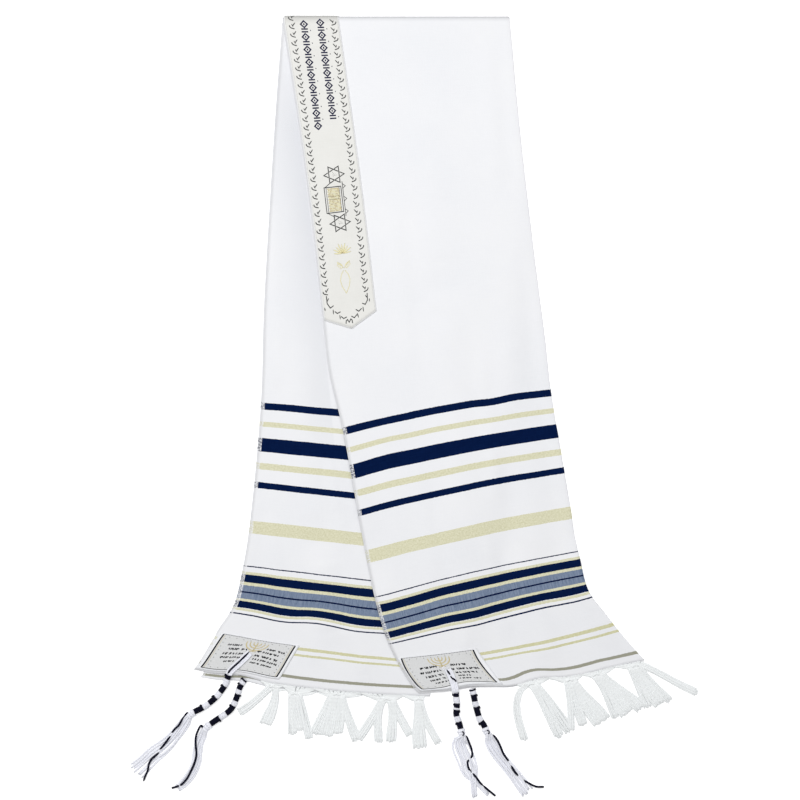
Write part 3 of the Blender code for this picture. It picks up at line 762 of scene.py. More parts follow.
def makeShawl():
    n, f = shawl["columns"], shawl["foldSteps"]
    half = cut["width"] / 2
    us = [i / n * half for i in range(n + 1)] + [half] * (f - 1) + [half + i / n * half for i in range(n + 1)]
    lines = fallLines("back")[:0:-1]
    for k in range(shawl["creaseSteps"]):
        turn = 1 - k / shawl["creaseSteps"]
        points = shawlLine(lambda a, s: creasePoint(a, turn, s), Vector((1, 0, 0)))
        lines.append((points, cut["half"] + shawl["creaseLength"] * (1 - abs(2 * turn - 1))))
    lines += fallLines("front")
    uvLines = [[(u, up * mm) for u in us] for points, up in lines]
    lines = [points for points, up in lines]
    obj = buildSheet("shawlCloth", lines, uvLines, shawl["thickness"], makeShawlFinish(cut["width"]))
    return finishPiece(obj, "cloth", "cloth_front", "cloth_back")


lineStore = {}


def storedLine(fall, up):
    key = (fall, round(up, 2))
    if key not in lineStore:
        lineStore[key] = lineAt(fall, up)
    return lineStore[key]


def overSide(fall):
    return -underSide[fall]


def topHeight(fall, x, y):  # mm, the upper face of the cloth at a place in plan that is clear of the fold
    low, gap = heightsAt(fall, x, y, 0.0)
    return low + 2 * lie["wall"] + gap


def newBag():
    return {"points": [], "faces": [], "uvs": [], "tags": []}


def bagObject(name, bag, finishes):
    return meshObject(name, bag["points"], bag["faces"], finishes, bag["uvs"], "yarn", bag["tags"])


def directions(centres):
    last = len(centres) - 1
    return [(centres[min(i + 1, last)] - centres[max(i - 1, 0)]).normalized() for i in range(last + 1)]


def levelArm(ahead):  # level and square to the way ahead, to its right
    return Vector((ahead.y, -ahead.x, 0)).normalized()


def addTube(bag, centres, radii, sides, tag=0, arms=None):
    start = len(bag["points"])
    length = 0.0
    for i, (centre, ahead) in enumerate(zip(centres, directions(centres))):
        arm = arms[i] if arms else levelArm(ahead)
        lift = arm.cross(ahead)
        length += (centre - centres[i - 1]).length if i else 0.0
        radius = radii[i] if isinstance(radii, list) else radii
        for k in range(sides):
            angle = 2 * math.pi * k / sides
            bag["points"].append(centre + (arm * math.cos(angle) + lift * math.sin(angle)) * radius)
            bag["uvs"].append((k / sides, length * mm))
    rings = len(centres)
    for r in range(rings - 1):
        a = start + r * sides
        for k in range(sides):
            after = (k + 1) % sides
            bag["faces"].append((a + k, a + k + sides, a + after + sides, a + after))
    bag["faces"].append(tuple(start + k for k in range(sides)))
    bag["faces"].append(tuple(start + (rings - 1) * sides + k for k in reversed(range(sides))))
    bag["tags"] += [tag] * ((rings - 1) * sides + 2)


def evenly(points, count):  # count points along the smooth curve through points
    knots = [0.0]
    for a, b in zip(points, points[1:]):
        knots.append(knots[-1] + max(1e-4, (b - a).length))
    columns = [list(column) for column in zip(*points)]
    places = [knots[-1] * i / (count - 1) for i in range(count)]
    return [Vector([along(knots, column, at) for column in columns]) for at in places]


def modelled():  # the active object's mesh as a pattern to copy, and the object taken away
    obj = bpy.context.object
    pattern = ([v.co.copy() for v in obj.data.vertices], [tuple(p.vertices) for p in obj.data.polygons])
    bpy.data.objects.remove(obj)
    return pattern


leafBreadth = 0.42  # of a leaf pattern that is 1 long


def leafPattern():  # a satin-stitched leaf, lying on y
    bpy.ops.object.select_all(action="DESELECT")
    bpy.ops.mesh.primitive_circle_add(vertices=8, radius=0.5, fill_type="NGON", location=(0, 0.5, 0))
    bpy.ops.object.transform_apply(location=True, rotation=False, scale=False)
    bpy.ops.object.mode_set(mode="EDIT")
    bpy.ops.mesh.select_all(action="SELECT")
    bpy.ops.mesh.extrude_region_move(TRANSFORM_OT_translate={"value": (0, 0, 1)})
    bpy.ops.transform.resize(value=(0.5, 0.7, 1), center_override=(0, 0.5, 1))
    bpy.ops.mesh.select_all(action="SELECT")
    bpy.ops.transform.resize(value=(leafBreadth, 1, 1), center_override=(0, 0.5, 0))
    bpy.ops.mesh.normals_make_consistent(inside=False)
    bpy.ops.object.mode_set(mode="OBJECT")
    return modelled()


def knotPattern():  # one turn of an overhand knot
    bpy.ops.object.select_all(action="DESELECT")
    segments = {"major_segments": 12, "minor_segments": 6}
    bpy.ops.mesh.primitive_torus_add(major_radius=0.62, minor_radius=0.38, **segments)
    bpy.ops.object.mode_set(mode="EDIT")
    bpy.ops.mesh.select_all(action="SELECT")
    bpy.ops.transform.resize(value=(1, 0.85, 0.8))
    bpy.ops.object.mode_set(mode="OBJECT")
    return modelled()


leaf = leafPattern()
knotTurn = knotPattern()


stitch = {
    "lift": 0.14,  # mm, height of a flat stitch
    "sunk": 0.02,  # mm, let into the cloth
    "lay": 0.0006,  # m of thread for one turn of its plies
    "profile": ((-0.5, 0), (-0.28, 1), (0.28, 1), (0.5, 0)),  # shares of the width and of the lift
    # running stitches along an edge: from one to the next, where each starts and ends in that, width, lift
    "sewingStep": 3.4,
    "sewingEnds": (0.16, 0.84),
    "sewingWidth": 0.6,
    "sewingLift": 0.16,
}


def addPattern(bag, pattern, places, uvs):
    start = len(bag["points"])
    bag["points"] += places
    bag["uvs"] += uvs
    bag["faces"] += [tuple(start + i for i in face) for face in pattern[1]]
    bag["tags"] += [0] * len(pattern[1])


def stampLeaf(bag, face, x, y, angle, length, breadth, lift=stitch["lift"]):
    c, s = math.cos(math.radians(angle)), math.sin(math.radians(angle))
    places, uvs = [], []
    for p in leaf[0]:
        px, py = p.x * breadth / leafBreadth, p.y * length
        places.append(face(x + px * c - py * s, y + px * s + py * c, p.z * lift))
        uvs.append((px * mm, py * mm))
    addPattern(bag, leaf, places, uvs)


def stampKnot(bag, centre, radius, arm, lift, ahead):
    places = [centre + (arm * p.x + lift * p.y + ahead * p.z) * radius for p in knotTurn[0]]
    addPattern(bag, knotTurn, places, [(p.x, p.y * 0.003) for p in knotTurn[0]])


def stitchLine(bag, face, points, width, lift=stitch["lift"], closed=False):
    flat = [Vector((x, y)) for x, y in points]
    if closed:
        flat.append(flat[0])
    start = len(bag["points"])
    last = len(flat) - 1
    length = 0.0
    for i, point in enumerate(flat):
        before = flat[i - 1] if i else (flat[last - 1] if closed else point)
        after = flat[i + 1] if i < last else (flat[1] if closed else point)
        into, out = (point - before), (after - point)
        into = into.normalized() if into.length else out.normalized()
        out = out.normalized() if out.length else into
        mean = (into + out).normalized() if (into + out).length > 1e-6 else into
        normal = Vector((mean.y, -mean.x)) / max(0.5, mean.dot(out))
        length += (point - before).length if i else 0.0
        for share, height in stitch["profile"]:
            q = point + normal * width * share
            bag["points"].append(face(q.x, q.y, height * lift))
            bag["uvs"].append((share * width * mm, length * mm))
    for r in range(last):
        a = start + r * 4
        for k in range(4):
            after = (k + 1) % 4
            bag["faces"].append((a + k, a + k + 4, a + after + 4, a + after))
    end = start + last * 4
    bag["faces"] += [(start, start + 1, start + 2, start + 3), (end + 3, end + 2, end + 1, end)]
    bag["tags"] += [0] * (last * 4 + 2)


def sewEdge(bag, face, points):
    width, lift = stitch["sewingWidth"], stitch["sewingLift"]
    for (ax, ay), (bx, by) in zip(points, points[1:]):
        count = max(1, int(math.hypot(bx - ax, by - ay) / stitch["sewingStep"]))
        for i in range(count):
            shares = [(i + end) / count for end in stitch["sewingEnds"]]
            stitchLine(bag, face, [(ax + (bx - ax) * s, ay + (by - ay) * s) for s in shares], width, lift)


def arc(cx, cy, radius, fromAngle, toAngle, count, squash=1.0):
    found = []
    for i in range(count + 1):
        a = math.radians(fromAngle + (toAngle - fromAngle) * i / count)
        found.append((cx + radius * math.cos(a), cy + radius * squash * math.sin(a)))
    return found


# the neckband

neckband = {
    "width": 72,  # mm
    "cornersDown": 378,  # mm from the crease to its square corners
    "point": 17,
    "thickness": 0.7,
    "rest": 0.4,  # mm, past the seam distance to its middle
    "clothWidth": 294,  # mm, the folded cloth at the crease
    "turn": 0.7,  # share of the half turn that it follows
    "columns": 20,
    "turnRows": 6,
    "rows": 84,
    "sewn": (1.8, 1.5, 2.2),  # mm, in from the sides, the corners and the point
    "lean": (-3.5, 344),  # mm, how far the ornament drifts across, and by how far down
    "friezes": ((25.6, 2, 148), (47.2, 0, 132)),  # the ornament rows: across, from, to
    "stars": ((38.6, 200.8), (39.2, 261.6)),
    "starReach": (14, 11.8),
}
bandHalfTurn = math.pi * (creaseRadius + 2)


def bandPoint(t, s, out=0.0):
    middle = lie["wall"] / 2 + lie["seam"] + neckband["rest"]
    across = t / neckband["clothWidth"]
    if s < 0:
        return creasePoint(across, -s / bandHalfTurn, 1, middle + out)
    return clothPoint(storedLine("front", cut["half"] - s), across, 1, middle + out)


def onBand(t, s, out=0.0):  # a place on the band's upper face
    return bandPoint(t, s, neckband["thickness"] / 2 - stitch["sunk"] + out)


def makeNeckband():
    b = neckband
    lines, uvLines = [], []
    for r in range(b["turnRows"] + b["rows"]):
        line, uvLine = [], []
        for c in range(b["columns"] + 1):
            t = b["width"] * c / b["columns"]
            if r < b["turnRows"]:
                s = -b["turn"] * bandHalfTurn * (1 - r / b["turnRows"])
            else:
                pointed = b["point"] * (1 - abs(2 * c / b["columns"] - 1))
                share = (r - b["turnRows"]) / (b["rows"] - 1)
                s = share * (b["cornersDown"] + pointed * share**6)
            line.append(bandPoint(t, s))
            uvLine.append((t * mm, s * mm))
        lines.append(line)
        uvLines.append(uvLine)
    obj = buildSheet("neckband", lines, uvLines, b["thickness"], makeNeckbandFinish())
    return finishPiece(obj, "neckband", "atarah")


def leaning(t, s, out=0.0):
    drift, down = neckband["lean"]
    return onBand(t + drift * s / down, s, out)


border = {
    "sides": ((9.9, -2.0, 10.8, 1), (64.2, 4.3, 10.72, -1)),  # across, first, step, the way it faces
    "sprigs": 33,
    # a sprig's leaves, with across, down, angle, length and breadth, and its stem
    "leaves": ((0.4, 0.7, 220, 6.3, 1.55), (1.2, 1.7, 157, 4.4, 1.45)),
    "stem": ((-3.6, -0.5), (-3.3, 1.2), (-2.0, 2.7), (0.2, 3.5), (2.6, 4.1)),
    "stemThread": 1.45,
    # the border's turn round the point: stems, then leaves with across, down, angle and length
    "footStems": (
        ((10.2, 349), (10.3, 358), (13.9, 364.4), (18.7, 362.2)),
        ((19.6, 369.7), (22.6, 372.6), (27.2, 371.2)),
        ((27.4, 377.2), (30.5, 380.2), (35.0, 379.0)),
        ((65.7, 353.6), (65.3, 362.3), (61.7, 367.4), (57.7, 365.4)),
        ((56.1, 371.6), (52.1, 374.6), (48.1, 371.8)),
        ((49.2, 378.0), (45.1, 381.6), (41.2, 379.0)),
        ((33.0, 387.2), (33.6, 383.6), (35.4, 382.4), (37.5, 386.0), (40, 382.4), (41.6, 383.8), (42, 388)),
    ),
    "footThread": 1.4,
    "footLeaves": (
        (10.4, 356.0, 215, 5.2),
        (17.6, 366.4, 2, 6.8),
        (25.6, 374.6, -4, 6.4),
        (65.4, 360.0, 150, 5.2),
        (58.1, 369.2, -2, 7.4),
        (49.6, 376.0, -10, 7.0),
        (6.2, 362.5, -8, 4.6),
        (68.2, 360.5, 8, 4.6),
    ),
    "footBreadth": 1.5,
}


def addSprig(bag, x, y, facing):
    for across, down, angle, length, breadth in border["leaves"]:
        stampLeaf(bag, leaning, x + across * facing, y + down, angle * facing, length, breadth)
    stem = [(x + px * facing, y + py) for px, py in border["stem"]]
    stitchLine(bag, leaning, stem, border["stemThread"])


def addBorder(bag):
    b = border
    for t, first, step, facing in b["sides"]:
        for i in range(b["sprigs"]):
            addSprig(bag, t, first + i * step, facing)
    for stem in b["footStems"]:
        stitchLine(bag, leaning, stem, b["footThread"])
    for t, s, angle, length in b["footLeaves"]:
        stampLeaf(bag, leaning, t, s, angle, length, b["footBreadth"])


frieze = {
    "first": 5,  # mm, from the row's start to its first figure, and the least left after its last
    "last": 4,
    "lozenge": (4.4, 4.3),  # half across, half along
    "lozengeThread": 1.9,
    "seed": (3.0, 2.2),  # length and breadth
    "lozengeStep": 8.1,
    "bars": (-1.9, 1.7),
    "barReach": 4.3,
    "barThread": 2.0,
    "dotAside": 7.6,
    "dot": (1.8, 1.4),
    "barStep": 8.3,
}


def addFrieze(bag, t, fromS, toS):  # lozenges and pairs of bars by turns
    f = frieze
    halfX, halfY = f["lozenge"]
    reach = f["barReach"]
    s, turn = fromS + f["first"], 0
    while s < toS - f["last"]:
        if turn % 2:
            for step in f["bars"]:
                stitchLine(bag, leaning, [(t - reach, s + step), (t + reach, s + step)], f["barThread"])
            stampLeaf(bag, leaning, t + f["dotAside"], s - f["dot"][0] / 2, 0, *f["dot"])
            s += f["barStep"]
        else:
            lozenge = [(t - halfX, s), (t, s - halfY), (t + halfX, s), (t, s + halfY)]
            stitchLine(bag, leaning, lozenge, f["lozengeThread"], closed=True)
            stampLeaf(bag, leaning, t, s - f["seed"][0] / 2, 0, *f["seed"])
            s += f["lozengeStep"]
        turn += 1


star = {
    "thread": 1.4,
    "over": 0.71,  # where a line comes out from under its neighbour, and where it goes under the next; shares
    "under": 0.62,
    "seeds": 9,
    "seed": (1.1, 0.55),
    "seedTurn": 137,
    "seedLean": 77,
    "seedReach": (0.5, 0.33),
}


def addStar(bag, centre, reach):
    x, y = centre
    for start in (0, 180):
        corners = []
        for a in (0, 120, 240):
            angle = math.radians(start + a)
            corners.append(Vector((x + reach[0] * math.cos(angle), y + reach[1] * math.sin(angle))))
        for i in range(3):  # each line passes over one it meets and under the next
            before, corner, after = corners[i - 1], corners[i], corners[(i + 1) % 3]
            bent = [before.lerp(corner, star["over"]), corner, corner.lerp(after, star["under"])]
            stitchLine(bag, leaning, [tuple(point) for point in bent], star["thread"])
    nearest, step = star["seedReach"]
    for i in range(star["seeds"]):
        a, out = math.radians(i * star["seedTurn"]), nearest + step * i
        seedX, seedY = x + out * math.cos(a), y + out * math.sin(a)
        stampLeaf(bag, leaning, seedX, seedY, i * star["seedLean"], *star["seed"])


panel = {
    "centre": (34.4, 232),
    "size": (23, 32),
    "frame": 1.2,
    "liner": (2.6, 0.8),  # mm in from the sides, and its thread
    "links": (1.0, 6, 2.4),  # thread, reach towards the stars, and how far to the side the long one lies
    "teeth": (3, 3.8, 0.9),  # half height, reach to the side, thread
    "flecks": (17, 9),
    "fleckInset": (3.6, 1.2),
    "fleck": (2.6, 1.7),
    "goldShare": 0.5,
    "rows": ((0.36, 2.3), (0.48, 1.7)),  # rows of dots: how far down, and their step
    "dot": (1.5, 0.75),
}


def addPanel(grey, gold, pale):
    p = panel
    (cx, cy), (w, h) = p["centre"], p["size"]
    x0, x1, y0, y1 = cx - w / 2, cx + w / 2, cy - h / 2, cy + h / 2
    stitchLine(grey, leaning, [(x0, y0), (x1, y0), (x1, y1), (x0, y1)], p["frame"], closed=True)
    inset, thread = p["liner"]
    for x in (x0 + inset, x1 - inset):
        stitchLine(grey, leaning, [(x, y0), (x, y1)], thread)
    thread, reach, aside = p["links"]
    beside = x1 + aside
    for start, end in (
        ((x0 + 1, y0), (cx - 1, y0 - reach)),
        ((x0 + 1, y1), (cx - 1, y1 + reach)),
        ((beside, y0 - reach), (beside, y1 + reach)),
    ):
        stitchLine(grey, leaning, [start, end], thread)
    half, reach, thread = p["teeth"]
    for y in (y0, cy, y1):
        stitchLine(grey, leaning, [(beside, y - half), (beside + reach, y), (beside, y + half)], thread)
    rows, columns = p["flecks"]
    insetX, insetY = p["fleckInset"]
    for i in range(rows):
        y = y0 + insetY + (h - 2 * insetY) * (i + 0.5) / rows
        for k in range(columns):
            x = x0 + insetX + (w - 2 * insetX) * (k + 0.5 * (i % 2)) / columns
            stampLeaf(gold if dice.random() < p["goldShare"] else pale, leaning, x, y, -90, *p["fleck"])
    for down, step in p["rows"]:
        x = x0 + 4
        while x < x1 - 4:
            stampLeaf(grey, leaning, x, y0 + h * down, -90, *p["dot"], lift=0.2)
            x += step


emblem = {
    "palmetteAt": (38, 300),
    "fans": 9,
    "fanTurn": 21,
    "fan": (14.5, 2.1),
    "shortFan": 0.86,
    "gilding": (5.5, 1.2),
    "gildingTurn": 9,
    "cup": (5, 0.9),  # radius and thread
    "spraysAt": (38, 318),
    "stem": ((0, 0), (4, -4), (8.6, -6)),
    "stemThread": 0.8,
    # pairs of leaves along a stem: the first, the step to the next and how much shorter that is
    "leafPairs": 4,
    "leafFirst": (1.5, -1.6),
    "leafStep": (2.1, -1.3),
    "leafShorter": 0.5,
    "loopAt": (38, 321),
    "loop": ((1, 0), (4.6, 5), (6.6, 12), (4.8, 20)),  # half of it, down to its foot
    "loopFoot": 28.5,
    "loopThread": 1.1,
}


def addEmblem(gold, pale):  # a palmette over two leaf sprays and a loop
    e = emblem
    x, y = e["palmetteAt"]
    for i in range(e["fans"]):
        angle = 180 + (i - e["fans"] // 2) * e["fanTurn"]
        share = 1.0 if i % 2 else e["shortFan"]
        stampLeaf(pale, leaning, x, y, angle, e["fan"][0] * share, e["fan"][1])
        if i % 2:
            stampLeaf(gold, leaning, x, y, angle + e["gildingTurn"], *e["gilding"], lift=0.3)
    radius, thread = e["cup"]
    stitchLine(pale, leaning, arc(x, y - 1, radius, 20, 160, 8, -0.5), thread)
    x, y = e["spraysAt"]
    for side in (-1, 1):
        stitchLine(pale, leaning, [(x + side * px, y + py) for px, py in e["stem"]], e["stemThread"])
        for k in range(e["leafPairs"]):
            px, py = (first + step * k for first, step in zip(e["leafFirst"], e["leafStep"]))
            px, py, shorter = x + side * px, y + py, e["leafShorter"] * k
            stampLeaf(pale, leaning, px, py, side * (-150 - 8 * k), 5.0 - shorter, 1.6)
            stampLeaf(pale, leaning, px, py + 0.4, side * (-60 + 8 * k), 4.0 - shorter, 1.4)
    x, y = e["loopAt"]
    left = [(x - px, y + py) for px, py in e["loop"]]
    right = [(x + px, y + py) for px, py in reversed(e["loop"])]
    stitchLine(pale, leaning, [*left, (x, y + e["loopFoot"]), *right], e["loopThread"])


def makeNeckbandStitching():
    b = neckband
    grey, navy, gold, pale, sewing = newBag(), newBag(), newBag(), newBag(), newBag()
    side, corner, foot = b["sewn"]
    near, far, down = side, b["width"] - side, b["cornersDown"] - corner
    tip = (b["width"] / 2, b["cornersDown"] + b["point"] - foot)
    sewEdge(sewing, onBand, [(near, 2), (near, down), tip, (far, down), (far, 2)])
    addBorder(grey)
    for t, start, end in b["friezes"]:
        addFrieze(navy, t, start, end)
    for centre in b["stars"]:
        addStar(grey, centre, b["starReach"])
    addPanel(grey, gold, pale)
    addEmblem(gold, pale)
    pieces = []
    for name, bag, tone in (
        ("neckbandGreyStitches", grey, "threadGrey"),
        ("neckbandNavyStitches", navy, "threadNavy"),
        ("neckbandGoldStitches", gold, "threadGold"),
        ("neckbandPaleStitches", pale, "threadPaleGold"),
        ("neckbandSewing", sewing, "threadIvory"),
    ):
        finish = makeYarnFinish(tone, colours[tone], stitch["lay"], 3.0, 0.75)
        pieces.append(finishPiece(bagObject(name, bag, [finish]), "neckband"))
    return pieces


# the corner patches

patches = {
    "size": (103, 58),  # mm
    "thickness": 0.7,
    "gap": 0.5,  # mm, over the cloth, and from there to its middle
    "rest": 0.4,
    "cells": (40, 24),
    "ground": (4.9, 27.7, 26.6),  # the grey ground: in from each side, its middle down, half its height
    # corners from the top left one round by the right: share across, and mm up from the hem
    "front": ((0.004, 62), (0.379, 60), (0.383, 5.6), (0.004, 1.2)),
    "back": ((0.015, 60), (0.381, 55.3), (0.353, 8.5), (0.004, 2.8)),
    "frame": (4.9, 1.5, 54.3),  # the lines: in from each side, then down to the top and bottom ones
    "frameThreads": (2.2, 1.0, 1.3),  # sides, top, bottom
    "goldLine": (2.4, 0.6),  # in from the frame's side, and its thread
    # how far the stitched frame bows to the side and rises at its foot
    "bow": {"front": (2.4, 4.0), "back": (0.0, 0.0)},
    "bowPeak": (0.58, 0.22),  # where along the foot it rises most, and over how much; shares of the width
    "dot": (1.2, 1.1),
    "lampAt": {"front": (51, 8), "back": (52.5, 8)},
    "branches": (4.6, 9.1, 13.6),
    "branchSquash": 0.86,
    "shaft": 13.5,
    "foot": 4.5,
    "lampThreads": (1.5, 1.6, 1.2),  # branches, shaft, foot
    "flames": 7,
    "flameStep": 4.53,
    "flame": (2.6, 1.2),
    "lampRoom": (15, 12.5),  # kept clear to each side and below its flames
    "holes": {"front": (52.5, 25), "back": (50, 27)},
    "holeRoom": 7,
    "eyelet": (2.9, 1.5),  # radius and thread, then the stitches round it: how many, radius, length, breadth
    "eyeletStitches": (16, 2.1, 2.2, 0.8),
    "sewn": 1.6,
    # the ornament rows: how far down, each end's reach from the middle, the height of a stitch
    "rows": {
        "front": (
            (21, 28, 30, 4.0), (28, 32, 40, 4.0), (34.5, 28, 37, 3.9), (40.5, 26, 24, 3.1), (46, 22, 33, 2.7),
        ),
        "back": (
            (15, 32, 38, 3.6), (21, 29, 36, 3.6), (28, 32, 36, 3.8), (33.8, 33, 37, 3.6), (39.8, 26, 33, 3.1),
        ),
    },
    "rowStep": (2.3, 4.2),  # from stitch to stitch, and over the space after every sixth
    "rowArch": (2.2, 36, -1.1),  # how far a row's ends hang, by what reach, and its middle
    "leans": (-34, -12, 14, 34),
}


def bowed(fall, x, y):  # a place on a patch as its frame bends it
    wide, tall = patches["size"]
    aside, up = patches["bow"][fall]
    peak, spread = patches["bowPeak"]
    rise = up * (y / tall) ** 2 * math.exp(-(((x / wide - peak) / spread) ** 2))
    return x - aside * math.sin(math.pi * y / tall), y - rise


def patchFace(fall):
    leftTop, rightTop, rightLow, leftLow = (Vector(corner) for corner in patches[fall])
    wide, tall = patches["size"]
    base = lie["wall"] / 2 + patches["gap"] + patches["rest"] + patches["thickness"] / 2 - stitch["sunk"]

    def face(x, y, out=0.0):
        across, up = leftTop.lerp(leftLow, y / tall).lerp(rightTop.lerp(rightLow, y / tall), x / wide)
        return clothPoint(storedLine(fall, up), across, overSide(fall), base + out)

    return face


def makePatch(fall):
    wide, tall = patches["size"]
    columns, rows = patches["cells"]
    face = patchFace(fall)
    middle = stitch["sunk"] - patches["thickness"] / 2
    lines, uvLines = [], []
    for r in range(rows + 1):
        y = tall * r / rows
        row = [wide * c / columns for c in range(columns + 1)]
        lines.append([face(x, y, middle) for x in row])
        uvLines.append([tuple(c * mm for c in (2 * Vector((x, y)) - Vector(bowed(fall, x, y)))) for x in row])
    obj = buildSheet("patch" + fall.title(), lines, uvLines, patches["thickness"], patchFinish)
    return finishPiece(obj, "patch", "patch_" + fall)


def addPatchFrame(dark, gold, face):
    p = patches
    wide = p["size"][0]
    side, top, bottom = p["frame"]
    sideThread, topThread, bottomThread = p["frameThreads"]
    inset, goldThread = p["goldLine"]
    run = bottom - top
    for x, inward in ((side, 1), (wide - side, -1)):
        stitchLine(dark, face, [(x, top + run * i / 14) for i in range(15)], sideThread)
        goldLine = [(x + inward * inset, top + 1 + (run - 2) * i / 14) for i in range(15)]
        stitchLine(gold, face, goldLine, goldThread)
        for i in range(8):
            stampLeaf(dark, face, x + inward * 5.6, top + 6 + 5.6 * i, 0, *p["dot"])
    for y, inward, thread in ((top, 1, topThread), (bottom, -1, bottomThread)):
        stitchLine(dark, face, [(side + (wide - 2 * side) * i / 28, y) for i in range(29)], thread)
        for i in range(9):
            stampLeaf(dark, face, 14.5 + 9.2 * i, y + inward * 3.4 - p["dot"][0] / 2, 0, *p["dot"])


def addLamp(gold, face, x, head):  # the seven-branched candelabrum, from its flames down to its foot
    p = patches
    low = head + p["shaft"]
    branch, shaft, foot = p["lampThreads"]
    for radius in p["branches"]:
        stitchLine(gold, face, arc(x, head, radius, 0, 180, 14, p["branchSquash"]), branch)
    stitchLine(gold, face, [(x, head - 1), (x, low)], shaft)
    stitchLine(gold, face, [(x - p["foot"], low), (x + p["foot"], low)], foot)
    for k in range(p["flames"]):
        stampLeaf(gold, face, x - p["branches"][-1] + p["flameStep"] * k, head + 0.4, 180, *p["flame"])


def addPatchRows(dark, face, fall):  # rows of leaf and dash stitches, clear of the hole and the lamp
    p = patches
    middle = p["size"][0] / 2
    x, head = p["lampAt"][fall]
    aside, below = p["lampRoom"]
    holeX = p["holes"][fall][0]
    step, space = p["rowStep"]
    hang, reach, rise = p["rowArch"]
    for y, left, right, size in p["rows"][fall]:
        px, i = middle - left, 0
        while px < middle + right:
            if abs(px - holeX) > p["holeRoom"] and (y > head + below or abs(px - x) > aside):
                lean = dice.choice(p["leans"])
                arch = hang * ((px - middle) / reach) ** 2 + rise
                stampLeaf(dark, face, px, y + arch - size / 2, lean, size * dice.uniform(0.9, 1.1), 1.8)
                if i % 2:
                    stampLeaf(dark, face, px + 1.1, y + arch + 0.2, 90 + lean, 2.2, 1.5)
            px += step if i % 6 != 5 else space
            i += 1


def makePatchStitching(fall):
    p = patches
    wide, tall = p["size"]
    flat = patchFace(fall)

    def face(x, y, out=0.0):
        return flat(*bowed(fall, x, y), out)

    dark, gold, white = newBag(), newBag(), newBag()
    addPatchFrame(dark, gold, face)
    addLamp(gold, face, *p["lampAt"][fall])
    addPatchRows(dark, face, fall)
    holeX, holeY = p["holes"][fall]
    radius, thread = p["eyelet"]
    stitchLine(white, face, arc(holeX, holeY, radius, 0, 330, 12), thread, lift=0.5, closed=True)
    near, far, foot = p["sewn"], wide - p["sewn"], tall - p["sewn"]
    sewEdge(white, flat, [(near, near), (far, near), (far, foot), (near, foot), (near, near)])
    count, radius, length, breadth = p["eyeletStitches"]
    for i in range(count):
        turn = i * 360 / count
        x, y = holeX + radius * math.cos(math.radians(turn)), holeY + radius * math.sin(math.radians(turn))
        stampLeaf(white, face, x, y, turn - 90, length, breadth, lift=0.45)
    stem = makeYarnFinish("patchDark" + fall.title(), colours["threadBlack"], stitch["lay"], 3.0, 0.8)
    glint = makeYarnFinish("patchGold" + fall.title(), colours["threadGold"], stitch["lay"], 3.0, 0.8)
    return [
        finishPiece(bagObject("patchDarkStitches" + fall.title(), dark, [stem]), "patch"),
        finishPiece(bagObject("patchGoldStitches" + fall.title(), gold, [glint]), "patch"),
        finishPiece(bagObject("patchEyelet" + fall.title(), white, [tasselWhite]), "patch"),
    ]


# fringe

fringe = {
    "strandRadius": 1.12,  # mm
    "perMm": 0.84,  # strands for each mm of a lock's width
    "fewest": 5,
    "knotOut": 3.4,
    "knotHeight": 2.4,
    "knotRadius": 4.5,
    "knotFlat": 0.7,
    "knotTurns": ((24, 2.2), (-30, -2.2)),  # each turn's tilt in degrees, and how far aside it lies
    "settle": {"front": 0.5, "back": 3.0},  # mm, let out again so the tips stay where they lie
    "stagger": 4.2,  # mm along the hem between one lock and the next
    "neck": 8.5,  # mm, a lock's greatest width at its knot
    "uneven": 0.02,  # share by which a strand is longer or shorter
    "bulge": 2.5,
    "sway": 0.22,
    "heap": 0.5,
    "offFloor": 0.45,
    # ribbons of warp ends gathered to a knot: shares of the way to the next knot, for each ply
    "ribbons": {"over": (0.04, 0.14, 0.24, 0.34, 0.43, 0.5), "under": (0.1, 0.22, 0.34, 0.46)},
    "ribbonStep": 1.3,
    "hemEnds": (0.025, 0.992),
    # across, ply, then each lock's reach to the side, reach out, width and bend of its middle; mm
    "front": [
        (0.49, "over", ((-8, 73, 10.5, -13), (38, 68, 12, 3), (51, 61, 13, 4))),
        (0.67, "under", ((2, 65, 9, 2), (17, 58, 12, 0), (42, 54, 25, 0))),
        (0.785, "over", ((27, 55, 13, 5), (41, 50, 20, 3), (59, 43, 16, 2))),
        (0.96, "under", ((18, 53, 13, 0), (33, 50, 18, 0), (45, 46, 10, 0), (80, 35, 9.5, 5))),
    ],
    "back": [
        (0.34, "over", ((-44, 31, 11, 0), (-10, 46, 16, 4))),
        (0.42, "under", ((-3, 50, 11, 0), (8, 45, 12, 0), (19, 56, 10, 2))),
        (0.61, "over", ((-29, 49, 14, 0), (-14, 51, 17, 0), (1, 48, 14, 3), (26, 57, 12, 0))),
        (0.82, "under", ((-37, 49, 11, 0), (-11, 53, 11, -6), (5, 53, 13, 4), (30, 44, 11, 0))),
        (0.96, "over", ((1, 61, 18, 0), (25, 55, 10, -3))),
    ],
}


def hemFrame(fall, across, ply):  # a place on the hem, the way out of it and the way along it
    side = overSide(fall) if ply == "over" else underSide[fall]
    line = storedLine(fall, 0.0)
    point = clothPoint(line, across, side)
    run = clothPoint(line, min(1, across + 0.03), side) - clothPoint(line, max(0, across - 0.03), side)
    run.z = 0
    run.normalize()
    return point, Vector((run.y, -run.x, 0)), run


